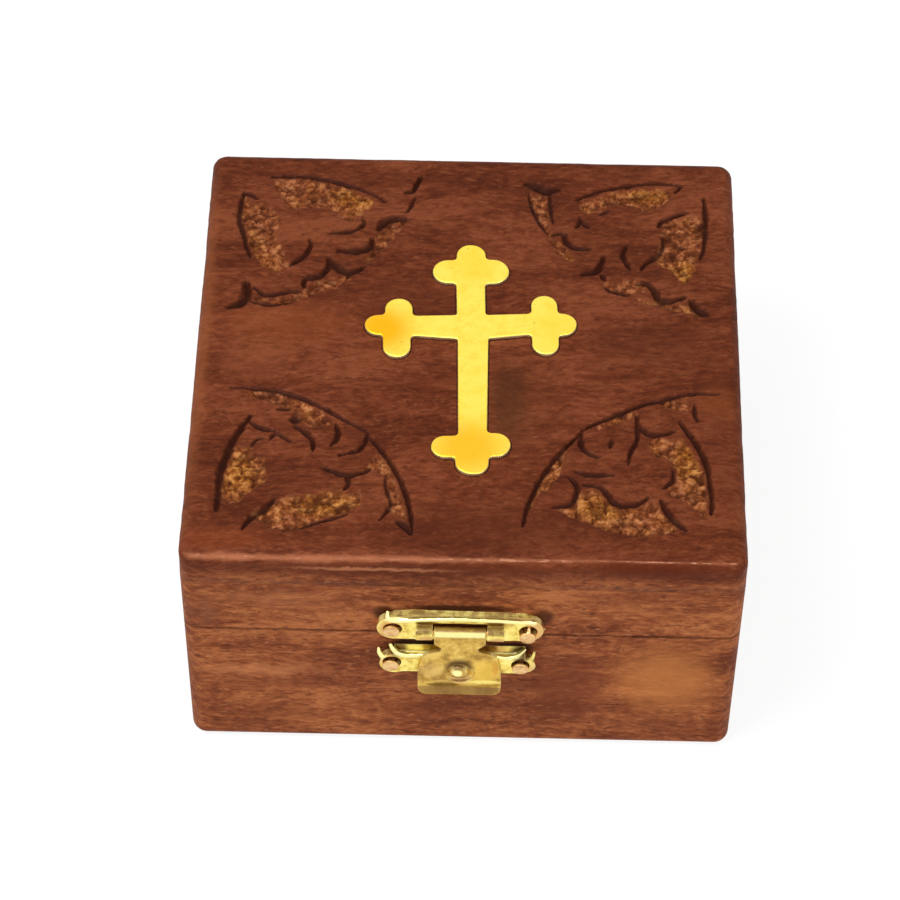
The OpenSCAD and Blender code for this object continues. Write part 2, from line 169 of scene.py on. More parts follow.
# Strokes cut with a gouge in each corner of the lid, as (width, depth, points). All points are [x, y] on
# the lid, and smooth curves run through them.
CUTS = {
    "front_left": [
        (0.9, 0.7, [(-43.6, -10.7), (-36, -11.1), (-29.4, -13.4), (-22.3, -18), (-18.3, -20.6)]),
        (1.0, 0.8, [(-17.7, -22), (-14, -27.1), (-10.9, -34), (-9.4, -41.1), (-9.3, -44)]),
        (1.5, 0.7, [(-12, -41.4), (-10.4, -42.6), (-9.4, -44.1)]),
        (1.5, 0.8, [(-39.7, -17.4), (-42.6, -23.7), (-44.3, -31.1), (-44.5, -39.7)]),
        (0.9, 0.6, [(-39.7, -18.9), (-37.7, -20.3), (-34.9, -20.9)]),
        (2.2, 0.7, [(-32.2, -18.1), (-30.6, -18)]),
        (0.8, 0.5, [(-34.9, -15.7), (-32.3, -15.7)]),
        (0.9, 0.6, [(-35.8, -23), (-34.9, -21.6), (-33.4, -22.3), (-31.9, -23.4)]),
        (0.8, 0.5, [(-39.1, -24.6), (-38.3, -23.1), (-36.9, -22.6)]),
        (1.1, 0.7, [(-31.4, -19.7), (-29.4, -21.1), (-28, -23.1), (-27.8, -25.4)]),
        (1.1, 0.7, [(-24, -18.6), (-23.4, -20.9), (-23.7, -22.6), (-24.6, -24)]),
        (1.0, 0.7, [(-18, -21.1), (-18.3, -23.1), (-19.4, -24.9), (-21.1, -25.7), (-23.1, -26.3)]),
        (1.2, 0.7, [(-26, -29.3), (-22.6, -30.6), (-20.9, -30.9), (-18.3, -30.1), (-17.1, -29.1)]),
        (1.0, 0.6, [(-21.7, -30.9), (-21.1, -32.9), (-21.9, -34.3)]),
        (0.8, 0.6, [(-14.3, -30.9), (-14.3, -33.4), (-13.4, -36.3), (-13.6, -38.6), (-15.1, -41.1)]),
        (0.8, 0.6, [(-32.3, -44), (-29.1, -43.1), (-24.6, -41.4), (-21.1, -40)]),
        (1.3, 0.8, [(-34.3, -36.9), (-36, -39.1), (-38, -40.9), (-39.7, -43.7)]),
    ],
    "back_left": [
        (0.9, 0.7, [(-39.1, 43.3), (-34.9, 43.5), (-30.3, 43.1), (-24, 41.4), (-18.6, 38.7), (-16.6, 37)]),
        (1.3, 0.8, [(-9.9, 44.1), (-10.6, 42.4), (-11.4, 40.4), (-12.9, 39.9)]),
        (0.8, 0.6, [(-10.9, 38.7), (-11.7, 36.1), (-12.6, 34.4)]),
        (1.8, 0.9, [(-12, 32.7), (-14, 33), (-16, 32.4), (-17.1, 31), (-18, 29.9)]),
        (1.0, 0.7, [(-21, 32.7), (-20.6, 31.3), (-21.7, 29.9), (-24, 28.9), (-27.1, 28.6)]),
        (1.7, 0.9, [(-18.9, 27.3), (-19.1, 25.3), (-21.1, 24.3), (-23.4, 24.1), (-25.4, 24.1)]),
        (1.4, 0.8, [(-27.1, 22.4), (-27.1, 19.9), (-28, 17.9), (-30, 17.1), (-31.4, 16.4), (-31.3, 14.7)]),
        (1.5, 0.8, [(-26.9, 21.6), (-25.4, 19.9), (-23.7, 18.7), (-21.7, 18.9), (-20.3, 20)]),
        (1.1, 0.7, [(-31, 27), (-30.7, 25.3), (-31.4, 23.3), (-32.6, 21.6), (-34.3, 20.1)]),
        (1.0, 0.6, [(-40.9, 14.4), (-39.1, 12.7), (-36.6, 12.6), (-34.3, 13.3), (-32, 13.4)]),
        (0.8, 0.5, [(-41.7, 11), (-38.3, 9.9), (-34.9, 10.4), (-32.6, 11.1)]),
        (2.0, 0.9, [(-42.4, 15.6), (-42, 12.7), (-43.1, 10.4), (-45.2, 9.1)]),
        (1.1, 0.7, [(-44.1, 39), (-44.7, 35), (-44.6, 31.6), (-43.7, 28.1), (-42.9, 24.7), (-42, 22.1)]),
        (0.9, 0.6, [(-44.1, 39), (-41.4, 37.3)]),
    ],
    "front_right": [
        (0.9, 0.7, [(46.6, -9.9), (40.9, -10.1), (33.1, -12.7), (26.6, -15.9), (21.1, -19.4)]),
        (1.0, 0.8, [(20.8, -20.2), (16.6, -25.7), (13.4, -31.7), (11.4, -37.4), (10.6, -41.7)]),
        (1.2, 0.8, [(39.3, -16.9), (41.1, -20), (42.9, -23.7), (44, -27.7), (44.6, -35.1), (44.4, -38)]),
        (0.8, 0.5, [(42.1, -12.6), (42, -14.6), (42.6, -16.6)]),
        (1.0, 0.7, [(31.4, -15.4), (31.4, -17.4), (32.3, -18.9), (34, -20), (36.6, -19.7), (38.3, -18.9)]),
        (1.1, 0.7, [(21.1, -19.7), (21.1, -22.6), (22, -24.3), (23.4, -25.3), (24.6, -25.4)]),
        (1.0, 0.6, [(26.7, -21.4), (26.4, -23.1)]),
        (1.0, 0.7, [(31.1, -18), (31.4, -20.9), (30.6, -23.1), (29.9, -25.1), (29.7, -27.1)]),
        (1.0, 0.7, [(18.6, -30), (20, -31.7), (20.4, -33.7), (19.4, -36.3), (17.7, -37), (16.1, -37.4)]),
        (1.1, 0.7, [(20, -29), (22.3, -29.7), (24.6, -29.6), (26.9, -29.7)]),
        (1.2, 0.7, [(21.4, -32), (24, -32.3), (25.4, -33.4), (26.6, -35.7), (28.6, -36.7), (30.9, -36.4),
                    (32.3, -35.4), (33.1, -34.6)]),
        (1.0, 0.6, [(37.7, -28), (37.7, -30.6), (36, -32.4)]),
        (1.3, 0.8, [(35.4, -35.1), (36.6, -38), (38.3, -40.3), (40, -42)]),
    ],
    "back_right": [
        (0.9, 0.7, [(20.3, 38.7), (25.7, 41.3), (32.6, 43.1), (36.6, 43.6), (40.6, 42.9), (39.4, 41)]),
        (1.1, 0.7, [(45.1, 39.9), (45.3, 35), (45.1, 30.1), (44.7, 26.4), (44, 23.9)]),
        (2.0, 0.9, [(10.5, 42.9), (12.3, 42.1), (14.6, 41), (16.9, 41.4)]),
        (0.8, 0.6, [(11.1, 40.1), (11.7, 36.7), (13.1, 32.7), (14.6, 29.9)]),
        (0.8, 0.6, [(15.1, 39.6), (15.3, 36.7), (15.6, 33.9), (15.9, 32.4)]),
        (1.2, 0.7, [(15.7, 29.3), (17.7, 29.7), (18.6, 27.3), (20.3, 26.1), (23.1, 25.9)]),
        (0.9, 0.6, [(20.9, 34.4), (21.1, 33), (20.3, 31.3)]),
        (0.9, 0.6, [(21.1, 33), (22.9, 31.4)]),
        (0.8, 0.5, [(24.9, 34.9), (26.6, 35.9)]),
        (1.0, 0.7, [(42, 35.9), (40.3, 35.4), (38.3, 34.4), (36.9, 33.6), (36.1, 32.1)]),
        (1.1, 0.7, [(37, 29.3), (36.9, 27), (36, 24.7), (33.7, 22.4), (32.6, 20.7)]),
        (1.1, 0.7, [(30, 27), (29.3, 24.4), (29.9, 22.4), (30.6, 20.7)]),
        (1.5, 0.8, [(25.7, 23.9), (24.9, 21.9), (24.3, 20.4), (23.4, 19.9), (21.4, 19.3)]),
        (1.1, 0.7, [(25.1, 19.3), (25.7, 17.9)]),
        (1.2, 0.7, [(25.7, 16.3), (27.4, 15), (30.3, 14.3)]),
        (1.4, 0.8, [(31.7, 17.3), (33.7, 17.3), (35.1, 15.3), (36, 13.3), (38.3, 13), (40.9, 13.9)]),
        (1.7, 0.8, [(42, 13.1), (42.9, 11), (45, 9.7)]),
    ],
}
# Outlines of the sunk grounds in each corner
GROUNDS = {
    "front_left": [
        [(-40, -11.3), (-36, -11.5), (-32, -12.6), (-29, -14.2), (-25, -17.2), (-23, -18.5), (-25.5, -19.5),
         (-29, -19.5), (-31, -17), (-34.5, -15), (-36.5, -14), (-39.5, -13.5)],
        [(-42.5, -25), (-41, -24), (-38.5, -26), (-36.6, -27), (-36.3, -30), (-36, -32), (-37.5, -34),
         (-40, -36.5), (-42.5, -38.5), (-44, -37), (-43.8, -32), (-43, -28)],
        [(-38.5, -40.2), (-35, -38), (-32.5, -36), (-28, -36), (-25, -34.8), (-21, -34.5), (-19, -34),
         (-18.5, -37), (-20, -38.5), (-24, -40.5), (-28, -42.5), (-31.5, -43.9), (-35, -43), (-37, -41.5)],
        [(-19, -30.5), (-15.5, -26), (-13.5, -30), (-12, -33), (-11, -37), (-10.5, -40), (-12.5, -40),
         (-13.7, -38.5), (-13.6, -35), (-14.5, -31), (-16.5, -30)],
    ],
    "back_left": [
        [(-39, 42.5), (-34, 42.8), (-28, 42), (-24, 40.5), (-20, 38), (-19, 36.5), (-20.5, 34.5), (-23, 32),
         (-25, 33), (-27.5, 34.8), (-31, 35), (-35, 35.2), (-36.5, 37), (-37.5, 39.5)],
        [(-44, 38), (-43, 36), (-40.5, 36), (-37.5, 33.5), (-36.5, 31), (-38, 27.5), (-36, 25), (-35, 21),
         (-34.5, 19.5), (-37, 18.5), (-40, 20), (-41.5, 23), (-42.8, 27), (-44.3, 32)],
        [(-12.3, 33), (-13.5, 29.5), (-16, 25.5), (-19.5, 21.5), (-24, 15.5), (-28, 13.5), (-32, 11.2),
         (-31, 14.5), (-27.5, 17), (-23.5, 18), (-20.5, 20), (-18.5, 26), (-17.5, 30)],
        [(-40.5, 12.4), (-36, 12), (-32, 12.8), (-31, 11.5), (-35, 10.6), (-40, 10.8)],
    ],
    "front_right": [
        [(37.5, -20.5), (40, -21), (42.5, -26), (43.8, -31), (44, -36), (43.8, -39), (41.5, -37.5),
         (39, -35), (36.5, -33.5), (38, -31), (38, -27), (35, -25), (33.5, -22.5), (34.5, -20.5)],
        [(16, -37.8), (19, -37), (20.5, -35), (21, -33.5), (24, -33), (26, -36), (28.5, -37.4),
         (31.5, -36.8), (34, -35), (36, -38), (39, -41), (37, -42.5), (33, -43.3), (28, -43.2),
         (23.5, -41.5), (20, -39.7)],
        [(24, -17.8), (27, -16), (31, -14.5), (31, -15.5), (27, -18), (24, -19.5)],
        [(35, -12), (41, -11), (41, -13.5), (37, -13.5)],
        [(11.2, -40), (12.3, -37), (13.2, -34), (15.5, -33), (17, -30), (18.5, -24), (17, -25), (15, -29),
         (13, -33), (11.5, -38)],
    ],
    "back_right": [
        [(20.5, 38), (23, 39), (28, 41), (33, 42), (38, 42), (39, 40.5), (37, 38), (34.5, 36), (31, 37.5),
         (28, 37.5), (25, 35.5), (21.5, 35.5)],
        [(37, 33.5), (40, 35), (44.8, 35), (44.8, 30), (44, 25), (42.5, 20), (40.5, 17.5), (38.5, 20),
         (36, 22), (35.5, 25), (37, 28), (36.5, 31)],
        [(25.5, 16.5), (30, 14.5), (34.5, 16.5), (31.5, 18.5), (28, 17.5)],
        [(43.5, 10), (39, 10.5), (35, 12), (30, 13.5), (36, 13), (40, 12.5)],
        [(11, 40), (15, 40), (15.2, 35), (15.5, 31), (14.7, 29.5), (13, 33), (11.8, 37)],
        [(15, 29), (17.5, 27), (19.5, 25.5), (20, 23), (18, 22.5), (16.5, 25)],
    ],
}
GROUND_DEPTH = 0.95
GROUND_EDGE = 0.6
CHIP_SIZE = 1.45
CHIP_HEIGHT = 0.75
CUT_WIDEN = 1.25
CUT_DEEPEN = 1.3
# Ranges of the lid that are carved, from left to right and from front to back, and the steps of its grid
CARVED_X = [(-45.6, -8.6), (9.6, 46.2)]
CARVED_Y = [(-44.8, -9.2), (8.4, 44.6)]
GRID_FINE = 0.295
GRID_COARSE = 0.8
# How far the waved face lies below the solid's, and how far below it the straight sides start
FACE_DROP = 0.06
FACE_Z = TOP_Z - FACE_DROP
SIDE_DROP = 4.4
# Lean of the rounded front edge, in degrees, at which it is worn bare and carries a painted highlight, and
# how far the wear and the highlight reach
WEAR_AND_HIGHLIGHT_LEAN = 51
WEAR_AND_HIGHLIGHT_REACH = 24
# Width of the painted contact shadow round the cross
CONTACT_SHADE_W = 0.25


def along_line(x, y, line):
    """Distance of each point from a line, and how far along the line its nearest place is."""
    steps = np.hypot(*np.diff(line, axis=0).T)
    reached = np.concatenate([[0], np.cumsum(steps)])
    nearest = np.full(x.shape, np.inf)
    place = np.zeros(x.shape)
    for (ax, ay), (bx, by), start, step in zip(line[:-1], line[1:], reached[:-1], steps):
        t = ((x - ax) * (bx - ax) + (y - ay) * (by - ay)) / max(step**2, 1e-9)
        t = np.clip(t, 0, 1)
        gap = np.hypot(x - ax - t * (bx - ax), y - ay - t * (by - ay))
        closer = gap < nearest
        nearest = np.where(closer, gap, nearest)
        place = np.where(closer, start + t * step, place)
    return nearest, place / max(reached[-1], 1e-9)


def inside(x, y, outline):
    """True for each point inside a closed outline."""
    result = np.zeros(x.shape, dtype=bool)
    for (ax, ay), (bx, by) in zip(outline, np.roll(outline, -1, axis=0)):
        crosses = (ay > y) != (by > y)
        result ^= crosses & (x < (bx - ax) * (y - ay) / (by - ay + 1e-12) + ax)
    return result


def near(x, y, line, margin):
    """True for each point within the box round a line."""
    low, high = line.min(axis=0) - margin, line.max(axis=0) + margin
    return (x > low[0]) & (x < high[0]) & (y > low[1]) & (y < high[1])


def chips(x, y, size, salt):
    """Torn chips of wood: a height for each place, and how near it is to the gap between two chips."""
    x = x + 0.3 * size * value_noise(x, y, size * 0.9, salt + 5)
    y = y + 0.3 * size * value_noise(x, y, size * 0.9, salt + 6)
    u, v = x / (size * 1.3), y / size
    i, j = np.floor(u), np.floor(v)
    first = np.full(x.shape, np.inf)
    second = np.full(x.shape, np.inf)
    height = np.zeros(x.shape)
    for di in (-1, 0, 1):
        for dj in (-1, 0, 1):
            ci, cj = i + di, j + dj
            cu = ci + 0.5 + 0.42 * (2 * hashed(ci, cj, salt) - 1)
            cv = cj + 0.5 + 0.42 * (2 * hashed(ci, cj, salt + 1) - 1)
            gap = np.hypot(u - cu, v - cv)
            lean_u = (2 * hashed(ci, cj, salt + 3) - 1) * (u - cu)
            lean_v = (2 * hashed(ci, cj, salt + 4) - 1) * (v - cv)
            own = hashed(ci, cj, salt + 2) + 0.9 * (lean_u + lean_v)
            closer = gap < first
            second = np.where(closer, first, np.minimum(second, gap))
            height = np.where(closer, own, height)
            first = np.minimum(first, gap)
    return np.clip(height, -0.3, 1.3), np.clip(1 - (second - first) * 4.5, 0, 1)


def carve(x, y):
    """Depth of the carving below the lid's face, and how far each place is ground, pit or cut."""
    depth = np.zeros(x.shape)
    ground = np.zeros(x.shape)
    cut = np.zeros(x.shape)
    coarse, wide_gap = chips(x, y, CHIP_SIZE * 1.35, 40)
    fine, thin_gap = chips(x, y, CHIP_SIZE * 0.62, 50)
    rough = 0.6 * coarse + 0.4 * fine - 0.45 * wide_gap - 0.2 * thin_gap + 0.2 * value_noise(x, y, 2.6, 6)
    for corner in CUTS:
        for points in GROUNDS[corner]:
            outline = smooth_line(points, closed=True)
            chosen = near(x, y, outline, 1)
            px, py = x[chosen], y[chosen]
            edge, _ = along_line(px, py, np.vstack([outline, outline[:1]]))
            wobble = 0.45 * value_noise(px, py, 1.5, 4) + 0.2 * value_noise(px, py, 0.7, 7)
            d = np.where(inside(px, py, outline), edge, -edge) + wobble
            share = np.clip(d / GROUND_EDGE + 0.3, 0, 1)
            floor = (GROUND_DEPTH - CHIP_HEIGHT * rough[chosen]) * share
            depth[chosen] = np.maximum(depth[chosen], floor)
            ground[chosen] = np.maximum(ground[chosen], share)
        for width, deep, points in CUTS[corner]:
            line = smooth_line(points)
            width *= CUT_WIDEN
            chosen = near(x, y, line, width)
            px, py = x[chosen], y[chosen]
            gap, place = along_line(px, py, line)
            swell = 0.45 + 0.55 * np.sin(np.pi * np.clip(place, 0, 1)) ** 0.7
            uneven = 1 + 0.3 * value_noise(px, py, 1.1, 5) + 0.15 * value_noise(px, py, 0.6, 13)
            v = np.clip(1 - gap / np.maximum(width / 2 * swell * uneven, 1e-6), 0, 1)
            depth[chosen] = np.maximum(depth[chosen], deep * CUT_DEEPEN * v**0.8)
            cut[chosen] = np.maximum(cut[chosen], v**0.38)
    pit = np.clip(0.75 - rough * 1.7, 0, 1) * ground
    return depth, ground, cut, pit


def grid_lines(low, high, fine_ranges, fine, coarse):
    """Places of grid lines, close together within the fine ranges and further apart between them."""
    edges = sorted({low, high, *(e for r in fine_ranges for e in r)})
    lines = []
    for a, b in zip(edges[:-1], edges[1:]):
        is_fine = any(r[0] <= a and b <= r[1] for r in fine_ranges)
        count = max(1, round((b - a) / (fine if is_fine else coarse)))
        lines.extend(np.linspace(a, b, count, endpoint=False))
    return np.array([*lines, high])


def lid_swell(x, y):
    """Slight waves of the hand-planed face."""
    return 0.05 * value_noise(x, y, 14, 8)


def lid_face():
    """Face of the lid as a grid: its vertices, faces and marks, and the counts of vertices along X and Y."""
    flat_x, flat_y = HALF_W - CORNER_R, HALF_D - CORNER_R
    xs = grid_lines(-flat_x, flat_x, CARVED_X, GRID_FINE, GRID_COARSE)
    ys = grid_lines(-flat_y, flat_y, CARVED_Y, GRID_FINE, GRID_COARSE)
    nx, ny = len(xs), len(ys)
    gx, gy = np.meshgrid(xs, ys)
    depth, ground, cut, pit = carve(gx, gy)
    fade = np.clip((flat_x - np.abs(gx)) / 3, 0, 1) * np.clip((flat_y - np.abs(gy)) / 3, 0, 1)
    height = FACE_Z - depth + lid_swell(gx, gy) * fade
    verts = [*np.stack([gx, gy, height], axis=-1).reshape(-1, 3)]
    marks = {"ground": [*ground.ravel()], "cut": [*cut.ravel()], "pit": [*pit.ravel()]}
    marks["worn"] = [0.0] * len(verts)
    i, j = np.meshgrid(np.arange(nx - 1), np.arange(ny - 1))
    a = (j * nx + i).ravel()
    faces = [*np.stack([a, a + 1, a + nx + 1, a + nx], axis=-1)]
    return verts, faces, marks, nx, ny


def grid_border(nx, ny):
    """Border of the grid, anticlockwise, as (grid vertex, outward direction), with a fan at each corner."""
    fan = [math.radians(90 * k / 10) for k in range(1, 10)]
    sides = (
        range(nx - 1, nx * ny, nx),
        range(nx * ny - 1, nx * (ny - 1) - 1, -1),
        range(nx * (ny - 1), -1, -nx),
        range(nx),
    )
    border = []
    for quarter, line in enumerate(sides):
        base = math.radians(90 * quarter)
        border += [(vertex, base) for vertex in line]
        border += [(line[-1], base + extra) for extra in fan]
    return border


def edge_profile():
    """Steps of the rounded edge, as distance outward from the grid, depth below the face and lean."""
    profile = [((CORNER_R - EDGE_R) / 2, 0.0, 0)]
    for k in range(13):
        lean = 7.5 * k
        t = math.radians(lean)
        profile.append((CORNER_R - EDGE_R + EDGE_R * math.sin(t), EDGE_R * (1 - math.cos(t)), lean))
    return profile + [(CORNER_R, drop, 120) for drop in (SIDE_DROP, 6.2, TOP_Z - PANEL_Z)]


def edge_place(start, angle, out, drop, lean):
    """Place on the rounded edge, straight out from a place of the grid, and how far it is worn and lit by a
    painted highlight.
    """
    dx, dy = math.cos(angle), math.sin(angle)
    px, py = start[0] + out * dx, start[1] + out * dy
    fade = 1 - min(max((drop - SIDE_DROP) / (TOP_Z - PANEL_Z - SIDE_DROP), 0), 1)
    along = px * abs(dy) + py * abs(dx)
    wave = 0.07 * float(value_noise(along, drop * 3, 5, 9)) + 0.05 * float(value_noise(along, drop, 1.4, 10))
    wave = (wave - 0.12) * fade * min(1, drop)
    # The wear and the painted highlight grow narrower and climb towards the right
    right = min(max((px + 25) / 50, 0), 1)
    crest = (lean - WEAR_AND_HIGHLIGHT_LEAN + 12 * right) / (WEAR_AND_HIGHLIGHT_REACH * (1 - 0.55 * right))
    worn = math.exp(-(crest**2)) * max(0, -dy)
    return (px + dx * wave, py + dy * wave, TOP_Z - FACE_DROP * fade - drop), worn


def add_mark(marks, **values):
    """Adds one vertex to each mark, with 0 where no value is given."""
    for name, numbers in marks.items():
        numbers.append(values.get(name, 0))


def add_contact_shade(verts, faces, marks):
    """Painted contact shadow round the cross, as a narrow dark ribbon on the face."""
    outline = cross_outline()
    start = len(verts)
    # Marked like the cuts, so the material paints the ribbon dark as shade
    for by, lift in ((0.05, 0.04), (-CONTACT_SHADE_W, 0.015)):
        for px, py in lay_cross(inset(outline, by)):
            verts.append((px, py, FACE_Z + float(lid_swell(px, py)) + lift))
            add_mark(marks, cut=0.75 + 0.25 * float(value_noise(px, py, 1.5, 12)))
    middle = start + len(outline)
    faces += skirt(range(start, middle), range(middle, len(verts)))


def carved_lid():
    """Top panel of the lid as one mesh: a fine grid for the face and rings for the rounded edges."""
    verts, faces, marks, nx, ny = lid_face()
    border = grid_border(nx, ny)
    last = [vertex for vertex, _ in border]
    for out, drop, lean in edge_profile():
        ring = []
        for vertex, angle in border:
            place, worn = edge_place(verts[vertex], angle, out, drop, lean)
            ring.append(len(verts))
            verts.append(place)
            add_mark(marks, worn=worn)
        faces += skirt(last, ring)
        last = ring
    faces.append(tuple(reversed(last)))
    add_contact_shade(verts, faces, marks)
    lid = make_object("carved_lid_top", verts, faces)
    for name, values in marks.items():
        add_number(lid.data, name, values)
    return lid


# Cross


CROSS_AT = (0.5, 5.4)
CROSS_TURN = math.radians(1.7)
# Arms of the cross, which was sawn by hand: direction in degrees, reach, distance from the tip back to
# the bud, and for the right and the left side (half width at the root, half width at the bud, reach of
# the lobe, half width of the tip, radius of the lobe, offset of the lobe along the arm)
ARMS = (
    (0, 20.2, 6.8, (2.78, 2.76, 7.4, 3.0, 3.05, 0), (2.68, 2.68, 7.15, 2.55, 2.95, 0)),
    (90, 20.05, 6.25, (2.35, 2.2, 6.5, 2.45, 2.65, -0.2), (3.5, 2.8, 8.05, 2.5, 2.6, 0.2)),
    (180, 36.1, 6.75, (2.55, 2.74, 7.7, 3.3, 2.55, 0.2), (3.15, 2.66, 6.85, 2.8, 2.8, -0.2)),
    (270, 19.85, 6.0, (3.4, 2.6, 7.5, 2.75, 2.5, 0), (2.4, 2.64, 7.15, 2.65, 2.5, 0)),
)
FILLET = 0.8
CROSS_BEVEL = 0.28


def arc(cx, cy, r, start, end, steps):
    """Points on an arc, with angles in degrees."""
    turns = np.radians(np.linspace(start, end, steps))
    return [(cx + r * math.cos(t), cy + r * math.sin(t)) for t in turns]


def half_arm(reach, back, side):
    """Outline of the right side of an arm that points up, from its root to the middle of its tip."""
    _, width, lobe, tip, radius, offset = side
    bar = reach - back + offset
    line = arc(width + FILLET, bar - radius - FILLET, FILLET, 180, 90, 5)
    line += arc(lobe - radius, bar, radius, -90, 90, 17)
    line += arc(tip + FILLET, bar + radius + FILLET, FILLET, 270, 200, 5)
    round_r = 2.7
    return line + [(x * tip / round_r, y) for x, y in arc(0, reach - round_r, round_r, 8, 90, 9)]


def cross_outline():
    """Outline of the whole cross, anticlockwise round the crossing of its arms."""
    points = []
    for arm, following in zip(ARMS, ARMS[1:] + ARMS[:1]):
        turn, reach, back, right, left = arm
        outline = half_arm(reach, back, right)
        outline += [(-x, y) for x, y in reversed(half_arm(reach, back, left)[:-1])]
        # Inner corner between this arm and the next one
        r = 0.5
        outline += arc(-left[0] - r, following[3][0] + r, r, 0, -90, 4)
        c, s = math.cos(math.radians(turn)), math.sin(math.radians(turn))
        points += [(x * c - y * s, x * s + y * c) for x, y in outline]
    return np.array(points)


def inset(outline, by):
    """Moves an anticlockwise outline inward."""
    ahead = np.roll(outline, -1, axis=0) - outline
    behind = outline - np.roll(outline, 1, axis=0)
    normal = []
    for a, b in zip(ahead, behind):
        na = np.array([-a[1], a[0]]) / max(np.hypot(*a), 1e-9)
        nb = np.array([-b[1], b[0]]) / max(np.hypot(*b), 1e-9)
        m = na + nb
        m /= max(np.hypot(*m), 1e-9)
        normal.append(m / max(m @ na, 0.5))
    return outline + np.array(normal) * by


def lay_cross(outline):
    """Turns an outline of the cross and moves it to its place on the lid."""
    c, s = math.cos(CROSS_TURN), math.sin(CROSS_TURN)
    return outline @ np.array([[c, -s], [s, c]]).T + CROSS_AT


def cross():
    """Brass cross with a worn bevel and a slightly ragged outline."""
    low, high = (corner[2] for corner in node_box("lid_cross"))
    outline = cross_outline()
    n = len(outline)
    rings = [(0, low)]
    for t in np.radians([0, 30, 60, 90]):
        rings.append((CROSS_BEVEL * (1 - math.cos(t)), high - CROSS_BEVEL * (1 - math.sin(t))))
    verts = []
    for by, z in rings:
        line = lay_cross(inset(outline, by))
        ragged = 0.05 * value_noise(line[:, 0], line[:, 1], 2.3, 11)
        verts += [(p[0] + r, p[1] + r, z) for p, r in zip(line, ragged)]
    faces = bar_sides(len(rings), n)
    faces.append(tuple(range((len(rings) - 1) * n, len(rings) * n)))
    faces.append(tuple(reversed(range(n))))
    piece = make_object("brass_cross", verts, faces)
    for poly in piece.data.polygons[-2:]:
        poly.use_smooth = False
    return piece


# Clasp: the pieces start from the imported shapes, are joined with their finer forms and softened


CLASP_X = -0.3
CLASP_VOXEL = 0.13
RIM_Z = node_box("base_front_wall")[1][2]


def front_place(x, h, out):
    """A place given as sideways, height above the base's rim and distance outward."""
    return CLASP_X + x, FRONT_Y - out, RIM_Z + h


def copy_node(node):
    """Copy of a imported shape, to be joined with its finer forms."""
    return add_object("part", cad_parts[node].data.copy())


def line_gap(places, line):
    """Distance of each place in space from a line."""
    nearest = np.full(len(places), np.inf)
    for a, b in zip(line[:-1], line[1:]):
        way = b - a
        t = np.clip((places - a) @ way / max(way @ way, 1e-9), 0, 1)
        nearest = np.minimum(nearest, np.linalg.norm(places - a - t[:, None] * way, axis=1))
    return nearest


def vertex_vectors(mesh, key):
    """Places or normals of a mesh's vertices, one in each row."""
    values = np.empty(len(mesh.vertices) * 3)
    mesh.vertices.foreach_get(key, values)
    return values.reshape(-1, 3)


def soften(piece, voxel, rounds, wave, salt, polished=()):
    """Remeshes a piece finely and rounds its edges, with the slight waves of hand-filed brass.

    The highlighted lines are rims that get a painted highlight, as (line, reach); a material reads them.
    """
    remesh = piece.modifiers.new("remesh", "REMESH")
    remesh.mode = "VOXEL"
    remesh.voxel_size = voxel * MM
    remesh.use_smooth_shade = True
    smooth = piece.modifiers.new("smooth", "SMOOTH")
    smooth.factor = 0.5
    smooth.iterations = rounds
    mesh = apply_modifiers(piece)
    places = vertex_vectors(mesh, "co")
    p = places / MM
    x, y, z = p.T
    bump = value_noise(x + y, z, 2.6, salt) * 0.7 + value_noise(x, z + y, 1.1, salt + 1) * 0.3
    places += vertex_vectors(mesh, "normal") * (bump * wave * MM)[:, None]
    mesh.vertices.foreach_set("co", places.ravel())
    # Painted highlight along the given rims, stored for the material
    bright = np.zeros(len(places))
    for line, reach in polished:
        bright = np.maximum(bright, np.clip(2 - line_gap(p, line) / reach, 0, 1))
    add_number(mesh, "polished", bright)
    mesh.update()
    return piece


def join(name, parts):
    """One object out of several, with all their meshes."""
    verts, faces = [], []
    for part in parts:
        start = len(verts)
        verts += [tuple(part.matrix_world @ v.co) for v in part.data.vertices]
        faces += [tuple(start + i for i in poly.vertices) for poly in part.data.polygons]
        bpy.data.objects.remove(part)
    mesh = bpy.data.meshes.new(name)
    mesh.from_pydata(verts, [], faces)
    return add_object(name, mesh)


def tube(name, path, radii, sides=12):
    """Closed round bar along a path of places, in millimetres, with its own radius at each place."""
    verts = []
    path = [Vector(p) for p in path]
    for i, place in enumerate(path):
        step = path[min(i + 1, len(path) - 1)] - path[max(i - 1, 0)]
        way = step.normalized()
        side = step.orthogonal().normalized() if i == 0 else (side - way * side.dot(way)).normalized()
        other = way.cross(side)
        for k in range(sides):
            t = 2 * math.pi * k / sides
            verts.append(place + (side * math.cos(t) + other * math.sin(t)) * radii[i])
    faces = bar_sides(len(path), sides)
    faces.append(tuple(reversed(range(sides))))
    faces.append(tuple(range((len(path) - 1) * sides, len(path) * sides)))
    return make_object(name, verts, faces)


def horn(x, h, height, lean, thick):
    """Thin pointed horn of brass left standing at the end of a plate, as a closed tapered bar."""
    path = [front_place(x + lean * t, h + height * t, 0.85 + 0.25 * t) for t in (0, 0.25, 0.5, 0.75, 1)]
    return tube("horn", path, [thick, thick * 0.85, thick * 0.65, thick * 0.45, thick * 0.2])


def front_line(points):
    """Smooth line through (sideways, height, outward) places of the clasp."""
    return np.array([front_place(*p) for p in smooth_line(points, steps=3)])


def bead(line, radii):
    """Rounded rim of bent sheet along a line, with its radii spread evenly along it."""
    thick = np.interp(np.linspace(0, 1, len(line)), np.linspace(0, 1, len(radii)), radii)
    return tube("bead", line, thick)


